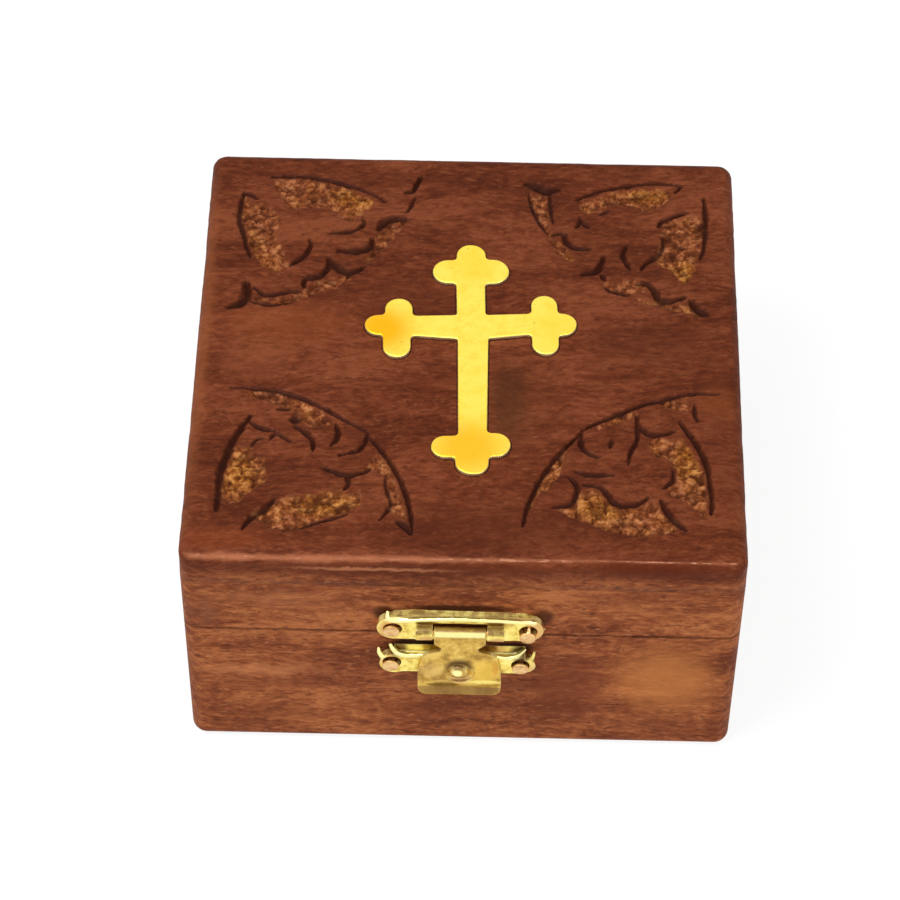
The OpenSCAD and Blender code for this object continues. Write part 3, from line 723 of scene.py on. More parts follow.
def sloped_wall():
    """Wall behind the rim of the upper plate, which leans back and up to the wood."""
    stations = [(-12.6, 6.3), (-11.6, 7.05), (-9, 7.2), (0, 7.05), (8, 6.95), (11.8, 6.8), (12.8, 6.2)]
    verts = []
    for x, top in stations:
        verts += [front_place(x, 4.8, 0.05), front_place(x, 5.7, 1.5), front_place(x, top, 0.05)]
    faces = bar_sides(len(stations), 3)
    faces += [(2, 1, 0), tuple(len(verts) - 3 + i for i in range(3))]
    return make_object("wall", verts, faces)


def upper_plate():
    """Upper plate with a raised rim along its top, bowed in the middle, that ends in a curl at the left."""
    rim = front_line([
        (-13.1, 7.3, 0.6), (-13.2, 6.3, 1.2), (-12.2, 5.75, 1.6), (-7, 6.2, 1.65),
        (-1, 6.6, 1.65), (6, 6.4, 1.65), (12.4, 5.95, 1.6), (13.2, 5.7, 1.3),
    ])
    parts = [
        copy_node("clasp_upper_plate"),
        bead(rim, [0.3, 0.5, 0.45, 0.45, 0.45, 0.42, 0.38, 0.28]),
        sloped_wall(),
        horn(14.7, 3.1, 0.3, 0.9, 0.4),
    ]
    # The rim along the top gets a painted highlight
    return soften(join("upper_clasp_plate", parts), CLASP_VOXEL, 3, 0.05, 20, [(rim, 0.45)])


def lower_plate():
    """Lower plate with the thin rims of its scooped edge, which end in horns beside the nail holes."""
    rims = [
        ([(-12.8, -2.0, 1.1), (-12.2, -3.3, 1.3), (-11.2, -4.5, 1.5), (-9.1, -4.9, 1.55),
          (-5.5, -4.5, 1.55)], [0.28, 0.5, 0.55, 0.48, 0.4]),
        ([(5.2, -4.2, 1.5), (7.2, -4.9, 1.55), (9.2, -5.1, 1.55), (10.9, -4.3, 1.4),
          (12.1, -2.9, 1.1)], [0.4, 0.48, 0.5, 0.34, 0.18]),
        ([(-14.9, -3.3, 1.0), (-14.8, -4.5, 1.2), (-14.1, -5.9, 1.3)], [0.22, 0.5, 0.65]),
        ([(13.7, -3.8, 0.9), (13.5, -4.8, 1.2), (12.9, -6.2, 1.3)], [0.2, 0.36, 0.5]),
    ]
    lines = [front_line(points) for points, _ in rims]
    parts = [copy_node("clasp_lower_plate")]
    parts += [bead(line, radii) for line, (_, radii) in zip(lines, rims)]
    # The rims of the scooped edge and the left horn get a painted highlight
    polished = [(line, 0.5) for line in lines[:3]]
    return soften(join("lower_clasp_plate", parts), CLASP_VOXEL, 3, 0.05, 23, polished)


def hasp():
    """Hasp with a round boss in its dish and a painted highlight along the front of its knuckle."""
    x, y, z = front_place(-0.1, -8.0, 2.45)
    path = [(x, y - out, z) for out in (0, 0.5, 0.85, 1.1, 1.25, 1.32)]
    boss = tube("boss", path, [1.75, 1.72, 1.5, 1.15, 0.7, 0.25], 20)
    knuckle = front_line([(-4.5, 3.35, 2.85), (0, 3.35, 2.85), (4.5, 3.35, 2.85)])
    parts = [copy_node("clasp_hasp"), boss]
    return soften(join("swinging_hasp", parts), CLASP_VOXEL, 4, 0.06, 26, [(knuckle, 0.35)])


def nails(name, node, bent=False):
    """Two nails with worn heads; a bent right one was hammered over, so it hangs low and shows its neck."""
    parts = [copy_node(node)]
    if bent:
        sag, head = 0.6, 0.3
        for v in parts[0].data.vertices:
            out = -v.co.y / MM + FRONT_Y
            if v.co.x > 0 and out > head:
                v.co.z -= sag * MM * min(1, (out - head) / 0.8)
        neck = front_line([(12.5, 3.9, 0.2), (12.5, 3.3, 1.3), (12.4, 2.6, 1.6)])
        parts.append(tube("neck", neck, [0.35] * len(neck)))
    return soften(join(name, parts), 0.12, 6, 0.05, 29)


# Velvet pads


def pad(name, node, down=False):
    """Crowned velvet pad in the space of its plain solid, with sides that pull in between its corners."""
    low, high = node_box(node)
    thick = high[2] - low[2]
    mid = (low + high) / 2
    half = (high - low) / 2
    count = 72
    t = np.linspace(-1, 1, count + 1)
    # Lines of the grid crowd towards the edges, where the pad turns down
    s = np.sin(t * math.pi / 2) * 0.55 + t * 0.45
    u, v = np.meshgrid(s, s)
    gap, pull = 0.2, 0.9
    x = mid[0] + u * (half[0] - gap - pull * (1 - v**2) * np.abs(u) ** 3)
    y = mid[1] + v * (half[1] - gap - pull * (1 - u**2) * np.abs(v) ** 3)
    edge = np.minimum(1 - np.abs(u), 1 - np.abs(v))
    rise = np.sqrt(np.clip(1 - (1 - np.clip(edge / 0.06, 0, 1)) ** 2, 0, 1))
    crown = (1 - u**4) * (1 - v**4)
    puff = 0.05 * value_noise(x, y, 9, 31) + 0.03 * value_noise(x, y, 3.5, 32)
    height = thick * (0.45 * rise + 0.42 * crown) + puff * crown
    face = np.clip(height, 0.02, thick - 0.02)
    z = high[2] - face if down else low[2] + face
    verts = [*zip(x.ravel(), y.ravel(), z.ravel())]
    n = count + 1
    corners = [j * n + i for j in range(count) for i in range(count)]
    faces = [(a, a + 1, a + n + 1, a + n) for a in corners]
    ring = [*range(n), *range(2 * n - 1, n * n, n), *range(n * n - 2, n * (n - 1) - 1, -1)]
    ring += range(n * (n - 2), 0, -n)
    back = range(len(verts), len(verts) + len(ring))
    verts += [(verts[a][0], verts[a][1], high[2] if down else low[2]) for a in ring]
    faces += [*skirt(ring, back), tuple(reversed(back))]
    if down:
        faces = [tuple(reversed(face)) for face in faces]
    return make_object(name, verts, faces)


# Materials


def srgb(r, g, b):
    """Colour given in the 0 to 255 steps of a screen, as linear light."""
    def linear(c):
        c /= 255
        return c / 12.92 if c <= 0.04045 else ((c + 0.055) / 1.055) ** 2.4
    return (linear(r), linear(g), linear(b), 1.0)


class Nodes:
    """Short calls that build a tree of shader nodes."""

    def __init__(self, tree):
        self.tree = tree

    def add(self, kind, settings=(), **inputs):
        node = self.tree.nodes.new("ShaderNode" + kind)
        for key, value in dict(settings).items():
            setattr(node, key, value)
        for key, value in inputs.items():
            self.put(node.inputs[key.replace("_", " ")], value)
        return node

    def put(self, socket, value):
        """Links a socket to a result, or gives it a value."""
        if isinstance(value, bpy.types.NodeSocket):
            self.tree.links.new(value, socket)
        else:
            socket.default_value = value

    def math(self, operation, a, b=0.0, clamp=False):
        node = self.add("Math", {"operation": operation, "use_clamp": clamp})
        self.put(node.inputs[0], a)
        self.put(node.inputs[1], b)
        return node.outputs[0]

    def times(self, a, b):
        return self.math("MULTIPLY", a, b)

    def plus(self, a, b):
        return self.math("ADD", a, b)

    def minus(self, a, b, clamp=False):
        return self.math("SUBTRACT", a, b, clamp)

    def seen(self):
        """1 for what the camera, reflections and glass show, and 0 for the light on the object."""
        paths = self.add("LightPath").outputs
        either = self.math("MAXIMUM", paths["Is Camera Ray"], paths["Is Glossy Ray"])
        return self.math("MAXIMUM", either, paths["Is Transmission Ray"])


class Shader(Nodes):
    """Short calls that build the nodes of one material."""

    def __init__(self, name):
        self.material = bpy.data.materials.new(name)
        self.material.use_nodes = True
        super().__init__(self.material.node_tree)
        self.surface = self.tree.nodes["Principled BSDF"]
        self.place = self.add("TexCoord").outputs["Object"]

    def axis(self, vector, axis):
        """One part of a vector: X, Y or Z."""
        return self.add("SeparateXYZ", Vector=vector).outputs[axis]

    def facing(self, axis):
        """How far the surface faces along an axis of its piece."""
        return self.axis(self.add("TexCoord").outputs["Normal"], axis)

    def stretched(self, scale, shift=(0, 0, 0), source=None, lean=0.0):
        """Places in a space drawn out by the given factors, shifted and leaning by some degrees about Z."""
        node = self.add("Mapping", {"vector_type": "TEXTURE"}, Vector=source or self.place)
        node.inputs["Scale"].default_value = scale
        node.inputs["Location"].default_value = shift
        node.inputs["Rotation"].default_value = (0, 0, math.radians(lean))
        return node.outputs[0]

    def noise_node(self, vector, size, detail):
        return self.add("TexNoise", Vector=vector, Scale=1 / (size * MM), Detail=detail)

    def noise(self, vector, size, detail=3.0, rough=0.5):
        """Noise whose features are about the given number of millimetres across."""
        node = self.noise_node(vector, size, detail)
        node.inputs["Roughness"].default_value = rough
        return node.outputs["Fac"]

    def ramp(self, value, *stops):
        """Colours or grey levels at places from 0 to 1, as (place, colour)."""
        node = self.add("ValToRGB", Fac=value)
        ramp = node.color_ramp
        while len(ramp.elements) < len(stops):
            ramp.elements.new(0.5)
        for element, (place, colour) in zip(ramp.elements, stops):
            element.position = place
            element.color = colour if isinstance(colour, tuple) else (colour, colour, colour, 1)
        return node.outputs["Color"]

    def between(self, value, low, high, out_low=0.0, out_high=1.0):
        """Smooth step from one level to another while a value goes from low to high."""
        node = self.add("MapRange", {"interpolation_type": "SMOOTHSTEP"}, Value=value)
        levels = {"From Min": low, "From Max": high, "To Min": out_low, "To Max": out_high}
        for key, level in levels.items():
            node.inputs[key].default_value = level
        return node.outputs["Result"]

    def mix(self, share, a, b, kind="MIX"):
        node = self.add("Mix", {"data_type": "RGBA", "blend_type": kind}, Factor=share)
        self.put(node.inputs[6], a)
        self.put(node.inputs[7], b)
        return node.outputs[2]

    def pushed(self, vector, reach):
        """Places moved along a vector, by so many millimetres for a length of 1."""
        moved = self.add("VectorMath", {"operation": "MULTIPLY_ADD"})
        self.put(moved.inputs[0], vector)
        moved.inputs[1].default_value = (reach * MM,) * 3
        self.put(moved.inputs[2], self.place)
        return moved.outputs[0]

    def shaken(self, size, reach):
        """Places moved about by a noise, so that what is drawn with them gets ragged edges."""
        centred = self.add("VectorMath", {"operation": "SUBTRACT"})
        self.put(centred.inputs[0], self.noise_node(self.place, size, 3.0).outputs["Color"])
        centred.inputs[1].default_value = (0.5, 0.5, 0.5)
        return self.pushed(centred.outputs[0], reach)

    def spot(self, centre, radius, stretch=(1, 1, 1), source=None, soft=0.8):
        """1 in the middle of a soft patch and 0 outside it, in millimetres."""
        scale = tuple(radius * MM * s for s in stretch)
        away = self.stretched(scale, tuple(c * MM for c in centre), source)
        length = self.add("VectorMath", {"operation": "LENGTH"})
        self.put(length.inputs[0], away)
        return self.between(length.outputs["Value"], 1 - soft, 1.0, 1.0, 0.0)

    def patched(self, colour, patches, source=None, soft=0.8):
        """Lays soft patches over a colour, each as (centre, radius, stretch, share, screen colour)."""
        for centre, radius, stretch, share, tint in patches:
            spot = self.spot(centre, radius, stretch, source, soft)
            colour = self.mix(self.times(spot, share), colour, srgb(*tint))
        return colour

    def number(self, name):
        """A number stored with the mesh."""
        return self.add("Attribute", {"attribute_name": name}).outputs["Fac"]

    def bump(self, height, strength, depth):
        """Bump whose full height is the given number of millimetres."""
        node = self.add("Bump", Height=height, Strength=strength, Distance=depth * MM)
        return node.outputs["Normal"]

    def finish(self, **inputs):
        for key, value in inputs.items():
            self.put(self.surface.inputs[key.replace("_", " ")], value)
        return self.material


def grain_axes(along, stretch):
    """Scale of the texture space that draws noise out along one axis."""
    return tuple(stretch if axis == along else 1.0 for axis in "XYZ")


def wood_layers(s, along, shift, lean=0.0):
    """Tone, fibres, dark pores and light flecks of one board, each as a value for each place."""
    warp = s.noise_node(s.stretched(grain_axes(along, 2), shift), 9, 2.0)
    warped = s.pushed(warp.outputs["Color"], 5)

    def layer(stretch, size, detail, rough):
        return s.noise(s.stretched(grain_axes(along, stretch), shift, warped, lean), size, detail, rough)

    broad = layer(2.5, 11, 2.0, 0.5)
    band = layer(5, 2.6, 2.0, 0.5)
    streak = layer(2.6, 0.9, 3.0, 0.65)
    fibre = layer(1.8, 0.4, 2.0, 0.6)
    pores = s.between(layer(4, 0.45, 1.0, 0.4), 0.6, 0.72)
    flecks = s.between(layer(3, 0.6, 2.0, 0.5), 0.58, 0.74)
    tone = s.plus(s.times(broad, 0.36), s.times(band, 0.24))
    tone = s.plus(tone, s.times(streak, 0.4))
    return tone, fibre, pores, flecks


def wood_colour(s, layers, dark, mid, light, fleck, flecked=0.4):
    tone, fibre, pores, flecks = layers
    colour = s.ramp(tone, (0.4, dark), (0.5, mid), (0.6, light))
    colour = s.mix(0.5, colour, s.ramp(fibre, (0.3, 0.62), (0.7, 1.0)), "MULTIPLY")
    colour = s.mix(s.times(flecks, flecked), colour, fleck)
    return s.mix(s.times(pores, 0.5), colour, srgb(66, 26, 12))


def wood_finish(s, colour, layers):
    _, fibre, pores, _ = layers
    height = s.minus(s.times(fibre, 0.5), pores)
    rough = s.between(fibre, 0.3, 0.7, 0.5, 0.62)
    return s.finish(
        Base_Color=colour,
        Roughness=rough,
        Specular_IOR_Level=0.07,
        Normal=s.bump(height, 0.35, 0.12),
    )


BOARD = (srgb(110, 51, 26), srgb(148, 79, 44), srgb(186, 111, 64), srgb(210, 138, 90))
TOP = (srgb(84, 35, 17), srgb(109, 51, 27), srgb(134, 70, 42), srgb(166, 100, 64))
BARE_FIBRE = srgb(206, 134, 92)
# Dark colour of the seam line, also used for the painted shade round the clasp
GRIME_AND_SHADE = (58, 24, 12)


def seam_line(s, colour):
    """Darkens the outside of the boards along the line where the lid meets the base."""
    upright = s.between(s.math("ABSOLUTE", s.facing("Z")), 0.3, 0.7, 1.0, 0.0)
    gap = s.math("ABSOLUTE", s.minus(s.axis(s.place, "Z"), (RIM_Z + 0.15) * MM))
    ragged = s.noise(s.place, 1.5, 2.0, 0.6)
    reach = s.times(ragged, 1.1 * MM)
    share = s.minus(1.0, s.math("DIVIDE", gap, reach), clamp=True)
    # Light torn fibres beside the line
    torn = s.between(s.noise(s.stretched((2.5, 2.5, 1)), 1.0, 3.0, 0.6), 0.5, 0.66)
    beside = s.minus(1.0, s.math("DIVIDE", gap, 1.1 * MM), clamp=True)
    beside = s.times(s.times(torn, beside), s.times(upright, 0.7))
    colour = s.mix(beside, colour, BARE_FIBRE)
    return s.mix(s.times(share, upright), colour, srgb(*GRIME_AND_SHADE))


def on_front(deep, rows):
    """Patches of the front from rows of sideways place and height, radius, stretch, share and colour."""
    return [
        ((x, FRONT_Y, z), radius, (sx, deep, sz), share, tint)
        for (x, z), radius, (sx, sz), share, tint in rows
    ]


def on_top(z, rows):
    """Patches of the top from rows of the place on it, radius, stretch, share and colour."""
    return [
        ((x, y, z), radius, (sx, sy, 1), share, tint)
        for (x, y), radius, (sx, sy), share, tint in rows
    ]


# Darker and lighter places of the front boards
FRONT_PATCHES = on_front(1.2, [
    ((20, 19), 12, (0.9, 1.2), 0.65, (118, 56, 30)),
    ((38, 22), 15, (0.9, 1.0), 0.65, (200, 124, 66)),
    ((-36, 22.6), 9, (1.9, 0.3), 0.5, (196, 124, 78)),
    ((-34, 18), 9, (1.9, 0.3), 0.55, (122, 60, 34)),
    ((-33, 9), 8, (1.9, 0.35), 0.45, (124, 62, 32)),
    ((-8, 12), 10, (1.8, 0.5), 0.4, (124, 62, 32)),
    ((36, 7.5), 8, (1.5, 0.4), 0.4, (120, 60, 34)),
    ((-34, 44.5), 10, (1.6, 0.35), 0.35, (190, 118, 74)),
    ((-47, 41), 8, (0.5, 1), 0.5, (128, 74, 50)),
    ((30, 46.5), 5, (3, 0.7), 0.35, (128, 66, 38)),
])

# Painted shade on the front boards round the clasp: in the gap between the plates, above the upper plate, at
# the plates' ends and under the hasp
CLASP_PAINTED_SHADE = on_front(1, [
    ((-8.5, 31.8), 2.6, (2.5, 0.75), 0.97, (34, 11, 6)),
    ((9.2, 31.2), 2.8, (2.1, 0.85), 0.97, (34, 11, 6)),
    ((-0.3, 42.8), 1.5, (9.4, 0.9), 0.9, (50, 18, 8)),
    ((-14.2, 41), 2.8, (1, 1), 0.85, GRIME_AND_SHADE),
    ((14.6, 40.5), 3, (1, 1.1), 0.8, GRIME_AND_SHADE),
    ((-12.5, 29.5), 3, (1, 1), 0.5, GRIME_AND_SHADE),
    ((-0.3, 20.5), 3, (3.2, 0.6), 0.35, GRIME_AND_SHADE),
])


def front_wood(name, shift):
    """Front boards, with a golden patch at the right, darker ones beside it and painted shade round the
    clasp.
    """
    s = Shader(name)
    layers = wood_layers(s, "X", shift)
    colour = wood_colour(s, layers, *BOARD)
    colour = s.patched(colour, FRONT_PATCHES, s.shaken(4, 7))
    colour = seam_line(s, colour)
    # Painted shade round the clasp
    return wood_finish(s, s.patched(colour, CLASP_PAINTED_SHADE, s.shaken(1.2, 1.0), 0.6), layers)


def side_wood(name, along, shift):
    """Plain board of a side or of the back."""
    s = Shader(name)
    layers = wood_layers(s, along, shift)
    colour = wood_colour(s, layers, *BOARD)
    return wood_finish(s, seam_line(s, colour), layers)


# Darker and lighter places of the top board, and then of its edges
TOP_PATCHES = on_top(TOP_Z, [
    ((4, -43), 18, (1.6, 0.5), 0.55, (84, 36, 18)),
    ((34, 2), 15, (1.3, 0.6), 0.4, (88, 40, 22)),
    # Painted shadow right of the upright of the cross
    ((12, -12), 12, (0.7, 1.3), 0.3, (92, 44, 20)),
    ((-12, 12), 12, (1.2, 0.7), 0.35, (96, 44, 24)),
    ((-34, 6), 13, (1.4, 0.6), 0.4, (146, 76, 40)),
    ((-40, -4), 12, (0.9, 0.5), 0.3, (140, 76, 46)),
    ((47, -20), 12, (0.5, 2.4), 0.35, (96, 42, 22)),
    ((46, -12), 7, (0.8, 0.9), 0.35, (142, 76, 38)),
    ((-44, -46), 9, (1.5, 0.4), 0.35, (140, 66, 34)),
    # Painted shadow: a dark olive band beside the upright of the cross
    ((7.6, -13), 6.5, (0.8, 2.3), 0.55, (70, 42, 20)),
])
# Painted highlight along the rounding of the left edge
TOP_PATCHES.append(((-50, 0, 56.5), 2.6, (1, 22, 1.5), 0.45, (152, 86, 50)))
TOP_PATCHES += on_front(3, [
    # Painted shade: a dark red band on the rounding under the worn front edge, deepest at the right
    ((34, 54.8), 2.9, (7, 1), 0.85, (88, 34, 14)),
    ((6, 54.3), 1.5, (15, 1), 0.6, (104, 46, 20)),
    # Thin dark and worn lines along it
    ((-26, 53.4), 1.7, (12, 1), 0.4, (112, 52, 24)),
    ((-10, 49.2), 1.0, (18, 1), 0.5, (104, 50, 20)),
    ((-16, 53.0), 0.8, (28, 1), 0.55, (96, 42, 18)),
    ((-16, 54.5), 0.8, (28, 1), 0.5, (96, 42, 18)),
    ((-16, 53.8), 0.7, (30, 1), 0.6, (196, 126, 86)),
])

# Golden places of the sunk grounds, as (centre, radius, stretch)
GOLD_PLACES = [
    ((-22.5, 38.5, 57), 6, (1.1, 0.8, 2)),
    ((-41, -31, 57), 6.5, (0.8, 1.2, 2)),
    ((-25, -37.5, 57), 8, (1.2, 0.6, 2)),
    ((41, -26, 57), 6, (0.8, 1.2, 2)),
    ((25, -37, 57), 7, (1.2, 0.7, 2)),
    ((34, 40.5, 57), 5, (1.2, 0.7, 2)),
    ((41.5, 20.5, 57), 5, (0.9, 0.9, 2)),
]


def top_wood():
    """Red-brown top board with golden sunk grounds, painted shade in the cuts, the pits and round the cross,
    and a worn front edge with a painted highlight.
    """
    s = Shader("carved_rosewood")
    layers = wood_layers(s, "X", (0.3, 0.1, 0.7), 3)
    # The edge below the worn crest shades into the colour of the boards
    face = s.between(s.axis(s.place, "Z"), (PANEL_Z + 0.5) * MM, (PANEL_Z + 4) * MM)
    colour = s.mix(face, wood_colour(s, layers, *BOARD), wood_colour(s, layers, *TOP, 0.25))
    colour = s.patched(colour, TOP_PATCHES, s.shaken(1.6, 1.6))
    # The front edge is worn bare in ragged fibres, and its crest carries a painted highlight
    ragged = s.noise(s.stretched((2.6, 1.3, 1)), 0.9, 4.0, 0.7)
    patchy = s.noise(s.stretched((2, 1, 1)), 4, 2.0, 0.5)
    crest = s.number("worn")
    side = s.between(s.axis(s.place, "X"), -20 * MM, 25 * MM)
    rubbed = s.plus(s.times(crest, 0.9), s.plus(ragged, s.times(patchy, 0.9)))
    rubbed = s.times(s.between(rubbed, 1.3, 2.2), s.minus(1.0, s.times(side, 0.6)))
    colour = s.mix(rubbed, colour, srgb(178, 108, 75))
    torn = s.plus(s.times(ragged, 2.2), s.times(patchy, 0.4))
    worn = s.minus(s.times(crest, s.plus(1.8, s.times(side, 0.25))), torn)
    worn = s.times(s.between(worn, 0.35, 0.95), 0.85)
    colour = s.mix(worn, colour, srgb(208, 142, 108))
    # Sunk grounds: golden where the raw wood is bright, brown elsewhere, with painted shade in the pits
    gold = s.between(s.noise(s.place, 5, 2.0, 0.5), 0.45, 0.65, 0.0, 0.35)
    for centre, radius, stretch in GOLD_PLACES:
        gold = s.math("MAXIMUM", gold, s.spot(centre, radius, stretch))
    speck = s.noise(s.place, 1.3, 3.0, 0.6)
    brown = s.ramp(speck, (0.35, srgb(88, 42, 20)), (0.5, srgb(136, 72, 38)), (0.65, srgb(186, 118, 76)))
    bright = s.ramp(speck, (0.35, srgb(96, 46, 12)), (0.5, srgb(156, 92, 34)), (0.65, srgb(212, 146, 76)))
    sunk = s.mix(gold, brown, bright)
    sunk = s.mix(s.times(s.number("pit"), 0.85), sunk, srgb(62, 24, 8))
    colour = s.mix(s.times(s.number("ground"), 0.92), colour, sunk)
    # Painted shade in the cuts and in the ribbon round the cross
    colour = s.mix(s.times(s.number("cut"), 0.95), colour, srgb(40, 12, 5))
    return wood_finish(s, colour, layers)


def brass(name, bright, warm, dull, share, rough, grain=2.4, upward_reflection=None, sides=None, stains_and_painted_light=(), specks=0.0,
          blend=0.8):
    """Brass with brighter and duller patches and fine scratches.

    Where asked, its upward faces take a painted reflection of the wood, its side and upright faces a painted
    pale highlight, and its rims a painted highlight.
    """
    s = Shader(name)
    patches = s.noise(s.place, grain, 4.0, 0.65)
    colour = s.ramp(patches, (0.38, dull), (0.5, warm), (0.62, bright))
    colour = s.mix(share, bright, colour)
    colour = s.patched(colour, stains_and_painted_light, s.shaken(0.8, 0.5), blend)
    polished = s.number("polished")
    metal = 1.0
    if upward_reflection:
        # Upward faces take a painted olive reflection of the wood and lose their shine, so the wood behind is
        # not mirrored in them
        up = s.minus(s.between(s.facing("Z"), 0.4, 0.65), polished, clamp=True)
        metal = s.minus(1.0, s.times(up, 0.85))
        colour = s.mix(s.times(up, s.between(patches, 0.35, 0.65, 0.95, 0.5)), colour, upward_reflection)
        # Painted highlight: faces that turn sideways are pale
        side = s.between(s.math("ABSOLUTE", s.facing("X")), 0.3, 0.8)
        colour = s.mix(s.times(side, 0.7), colour, srgb(250, 226, 150))
    if sides:
        # Painted highlight: upright side walls take the pale colour
        side = s.between(s.facing("Z"), 0.3, 0.7, 1.0, 0.0)
        colour = s.mix(side, colour, sides)
    if specks:
        dots = s.between(s.noise(s.place, 0.8, 2.0, 0.6), 0.68, 0.78)
        colour = s.mix(s.times(dots, specks), colour, srgb(140, 84, 20))
    # Painted highlight along the rims
    colour = s.mix(s.times(polished, 0.9), colour, srgb(255, 248, 172))
    grit = s.noise(s.place, 0.25, 2.0, 0.6)
    return s.finish(
        Base_Color=colour,
        Metallic=metal,
        Roughness=s.between(patches, 0.3, 0.7, rough + 0.14, rough),
        Normal=s.bump(s.plus(grit, s.times(patches, 2.0)), 0.3, 0.05),
    )


# Stains and painted light of the brass, as (centre, radius, stretch, share, colour)
PLATE_STAINS_AND_PAINTED_LIGHT = [
    # Barrels, with painted shade above and a painted pinkish reflection of the wood below
    ((-6.5, -52, 40.5), 2.3, (1, 3, 0.78), 0.9, (146, 110, 42)),
    ((6.3, -52, 40.5), 2.3, (1, 3, 0.78), 0.9, (146, 110, 42)),
    ((-6.4, -53, 37.8), 2.1, (1, 3, 0.55), 0.85, (212, 164, 98)),
    ((6.4, -53, 37.6), 2.1, (1, 3, 0.55), 0.85, (212, 164, 98)),
    # Ends round the nails
    ((-13.1, -51.5, 38.2), 2.7, (1, 3, 1.35), 0.85, (222, 174, 108)),
    ((13.3, -51.5, 38.4), 2.5, (1, 3, 1.4), 0.85, (222, 174, 112)),
    ((-13.4, -51.5, 28.5), 2.2, (1, 3, 1.3), 0.6, (226, 178, 112)),
    ((13, -51.5, 26.5), 2.6, (0.7, 3, 1), 0.7, (230, 190, 124)),
    # Hollow behind the rims of the lower plate: painted light in its middle and painted shade at its ends
    ((-7.8, -51, 31.0), 3, (1.3, 3, 0.5), 0.8, (250, 226, 112)),
    ((-11.6, -51, 30.9), 2.2, (1, 1.2, 0.8), 0.9, (104, 70, 26)),
    ((6, -51, 31.2), 2.5, (1.2, 3, 0.5), 0.8, (204, 158, 88)),
    ((10.9, -51, 30.4), 2.6, (1, 1.2, 0.8), 0.95, (64, 36, 14)),
]
HASP_STAINS_AND_PAINTED_LIGHT = [
    ((4.4, -53, 27.5), 4.2, (0.8, 3, 1.1), 0.8, (240, 198, 84)),
    ((6.3, -53, 28.5), 1.6, (0.5, 3, 1.8), 0.5, (214, 146, 50)),
    ((-5.4, -53, 27.5), 3, (0.9, 3, 1), 0.45, (214, 172, 104)),
    # Painted shade in the hollow of the dish, the boss in it, a painted pinkish reflection and painted shade
    # under the boss, and a painted highlight on its top
    ((-0.35, -53, 28.5), 3.4, (1.0, 3, 1.0), 0.95, (86, 54, 18)),
    ((-0.3, -53.6, 27.2), 2.4, (0.95, 3, 0.95), 0.95, (196, 156, 68)),
    ((-0.1, -53.8, 24.7), 2.0, (1.2, 3, 0.75), 0.9, (238, 196, 130)),
    ((0.5, -54, 25.6), 0.9, (1.3, 3, 0.9), 0.8, (140, 98, 36)),
    ((-0.7, -54, 27.6), 1.3, (1, 3, 0.9), 1.0, (255, 248, 172)),
    # Painted highlights on the fold at the right, above the fold at the left and along the lip's bottom edge;
    # painted shade in the fold at the left and on the lip
    ((-0.3, -53.8, 22.0), 3, (3.4, 3, 0.5), 0.85, (150, 114, 42)),
    ((-3.4, -53.2, 23.2), 2, (1.9, 3, 0.4), 0.8, (116, 84, 30)),
    ((4.4, -53.2, 24.2), 2, (2.0, 3, 0.36), 0.95, (255, 236, 128)),
    ((-3.6, -53.2, 24.3), 1.2, (1.6, 3, 0.4), 0.6, (232, 194, 112)),
    ((-0.3, -54.4, 20.3), 2, (4.2, 3, 0.3), 0.75, (230, 190, 112)),
    # Top of the knuckle: a painted highlight at the left and painted shade in the middle
    ((-0.3, -52, 40.0), 2, (3.2, 2, 0.5), 0.85, (206, 164, 84)),
    ((0.2, -52, 39.8), 1.5, (1.9, 2, 0.5), 0.85, (130, 80, 40)),
    ((-3.6, -52, 39.8), 1.2, (1.1, 2, 0.6), 0.8, (255, 236, 130)),
]
CROSS_STAINS = on_top(57.7, [
    ((-16.2, 3.8), 8.2, (1, 1), 0.95, (246, 182, 18)),
    ((0.4, -24.5), 9.5, (1.1, 1), 0.85, (248, 186, 30)),
    ((0.5, 21), 8, (0.8, 1), 0.4, (250, 206, 40)),
    ((17, 5.5), 8, (1, 1), 0.35, (252, 212, 56)),
])


def velvet():
    """Deep red velvet with a soft sheen and a fine pile."""
    s = Shader("velvet")
    pile = s.noise(s.place, 0.35, 2.0, 0.6)
    brushed = s.noise(s.place, 7, 2.0, 0.5)
    colour = s.ramp(brushed, (0.35, srgb(86, 10, 22)), (0.65, srgb(106, 16, 28)))
    colour = s.mix(0.4, colour, s.ramp(pile, (0.3, 0.6), (0.7, 1.0)), "MULTIPLY")
    return s.finish(
        Base_Color=colour,
        Roughness=0.9,
        Specular_IOR_Level=0.2,
        Sheen_Weight=0.6,
        Sheen_Roughness=0.4,
        Sheen_Tint=srgb(220, 120, 130),
        Normal=s.bump(pile, 0.5, 0.2),
    )


def paint(piece, material):
    """Gives a piece one material, in all its slots."""
    if not piece.material_slots:
        piece.data.materials.append(material)
    for place in piece.material_slots:
        place.material = material


# Stage


WHITE = (1, 1, 1, 1)
FLOOR_GLOW = 0.88
AMBIENT = 0.42


def floor_material():
    """Pale floor that shows white to the camera and in reflections, and keeps a soft shadow."""
    s = Shader("pale_floor")
    seen = s.seen()
    return s.finish(
        Base_Color=s.mix(seen, (0.8, 0.8, 0.8, 1), (0.17, 0.17, 0.17, 1)),
        Roughness=0.9,
        Specular_IOR_Level=0.0,
        Emission_Color=WHITE,
        Emission_Strength=s.times(seen, FLOOR_GLOW),
    )


def floor():
    """Wide pale floor."""
    half = 4000
    corners = [(-half, -half, 0), (half, -half, 0), (half, half, 0), (-half, half, 0)]
    piece = make_object("pale_floor", corners, [(0, 1, 2, 3)], smooth=False)
    paint(piece, floor_material())


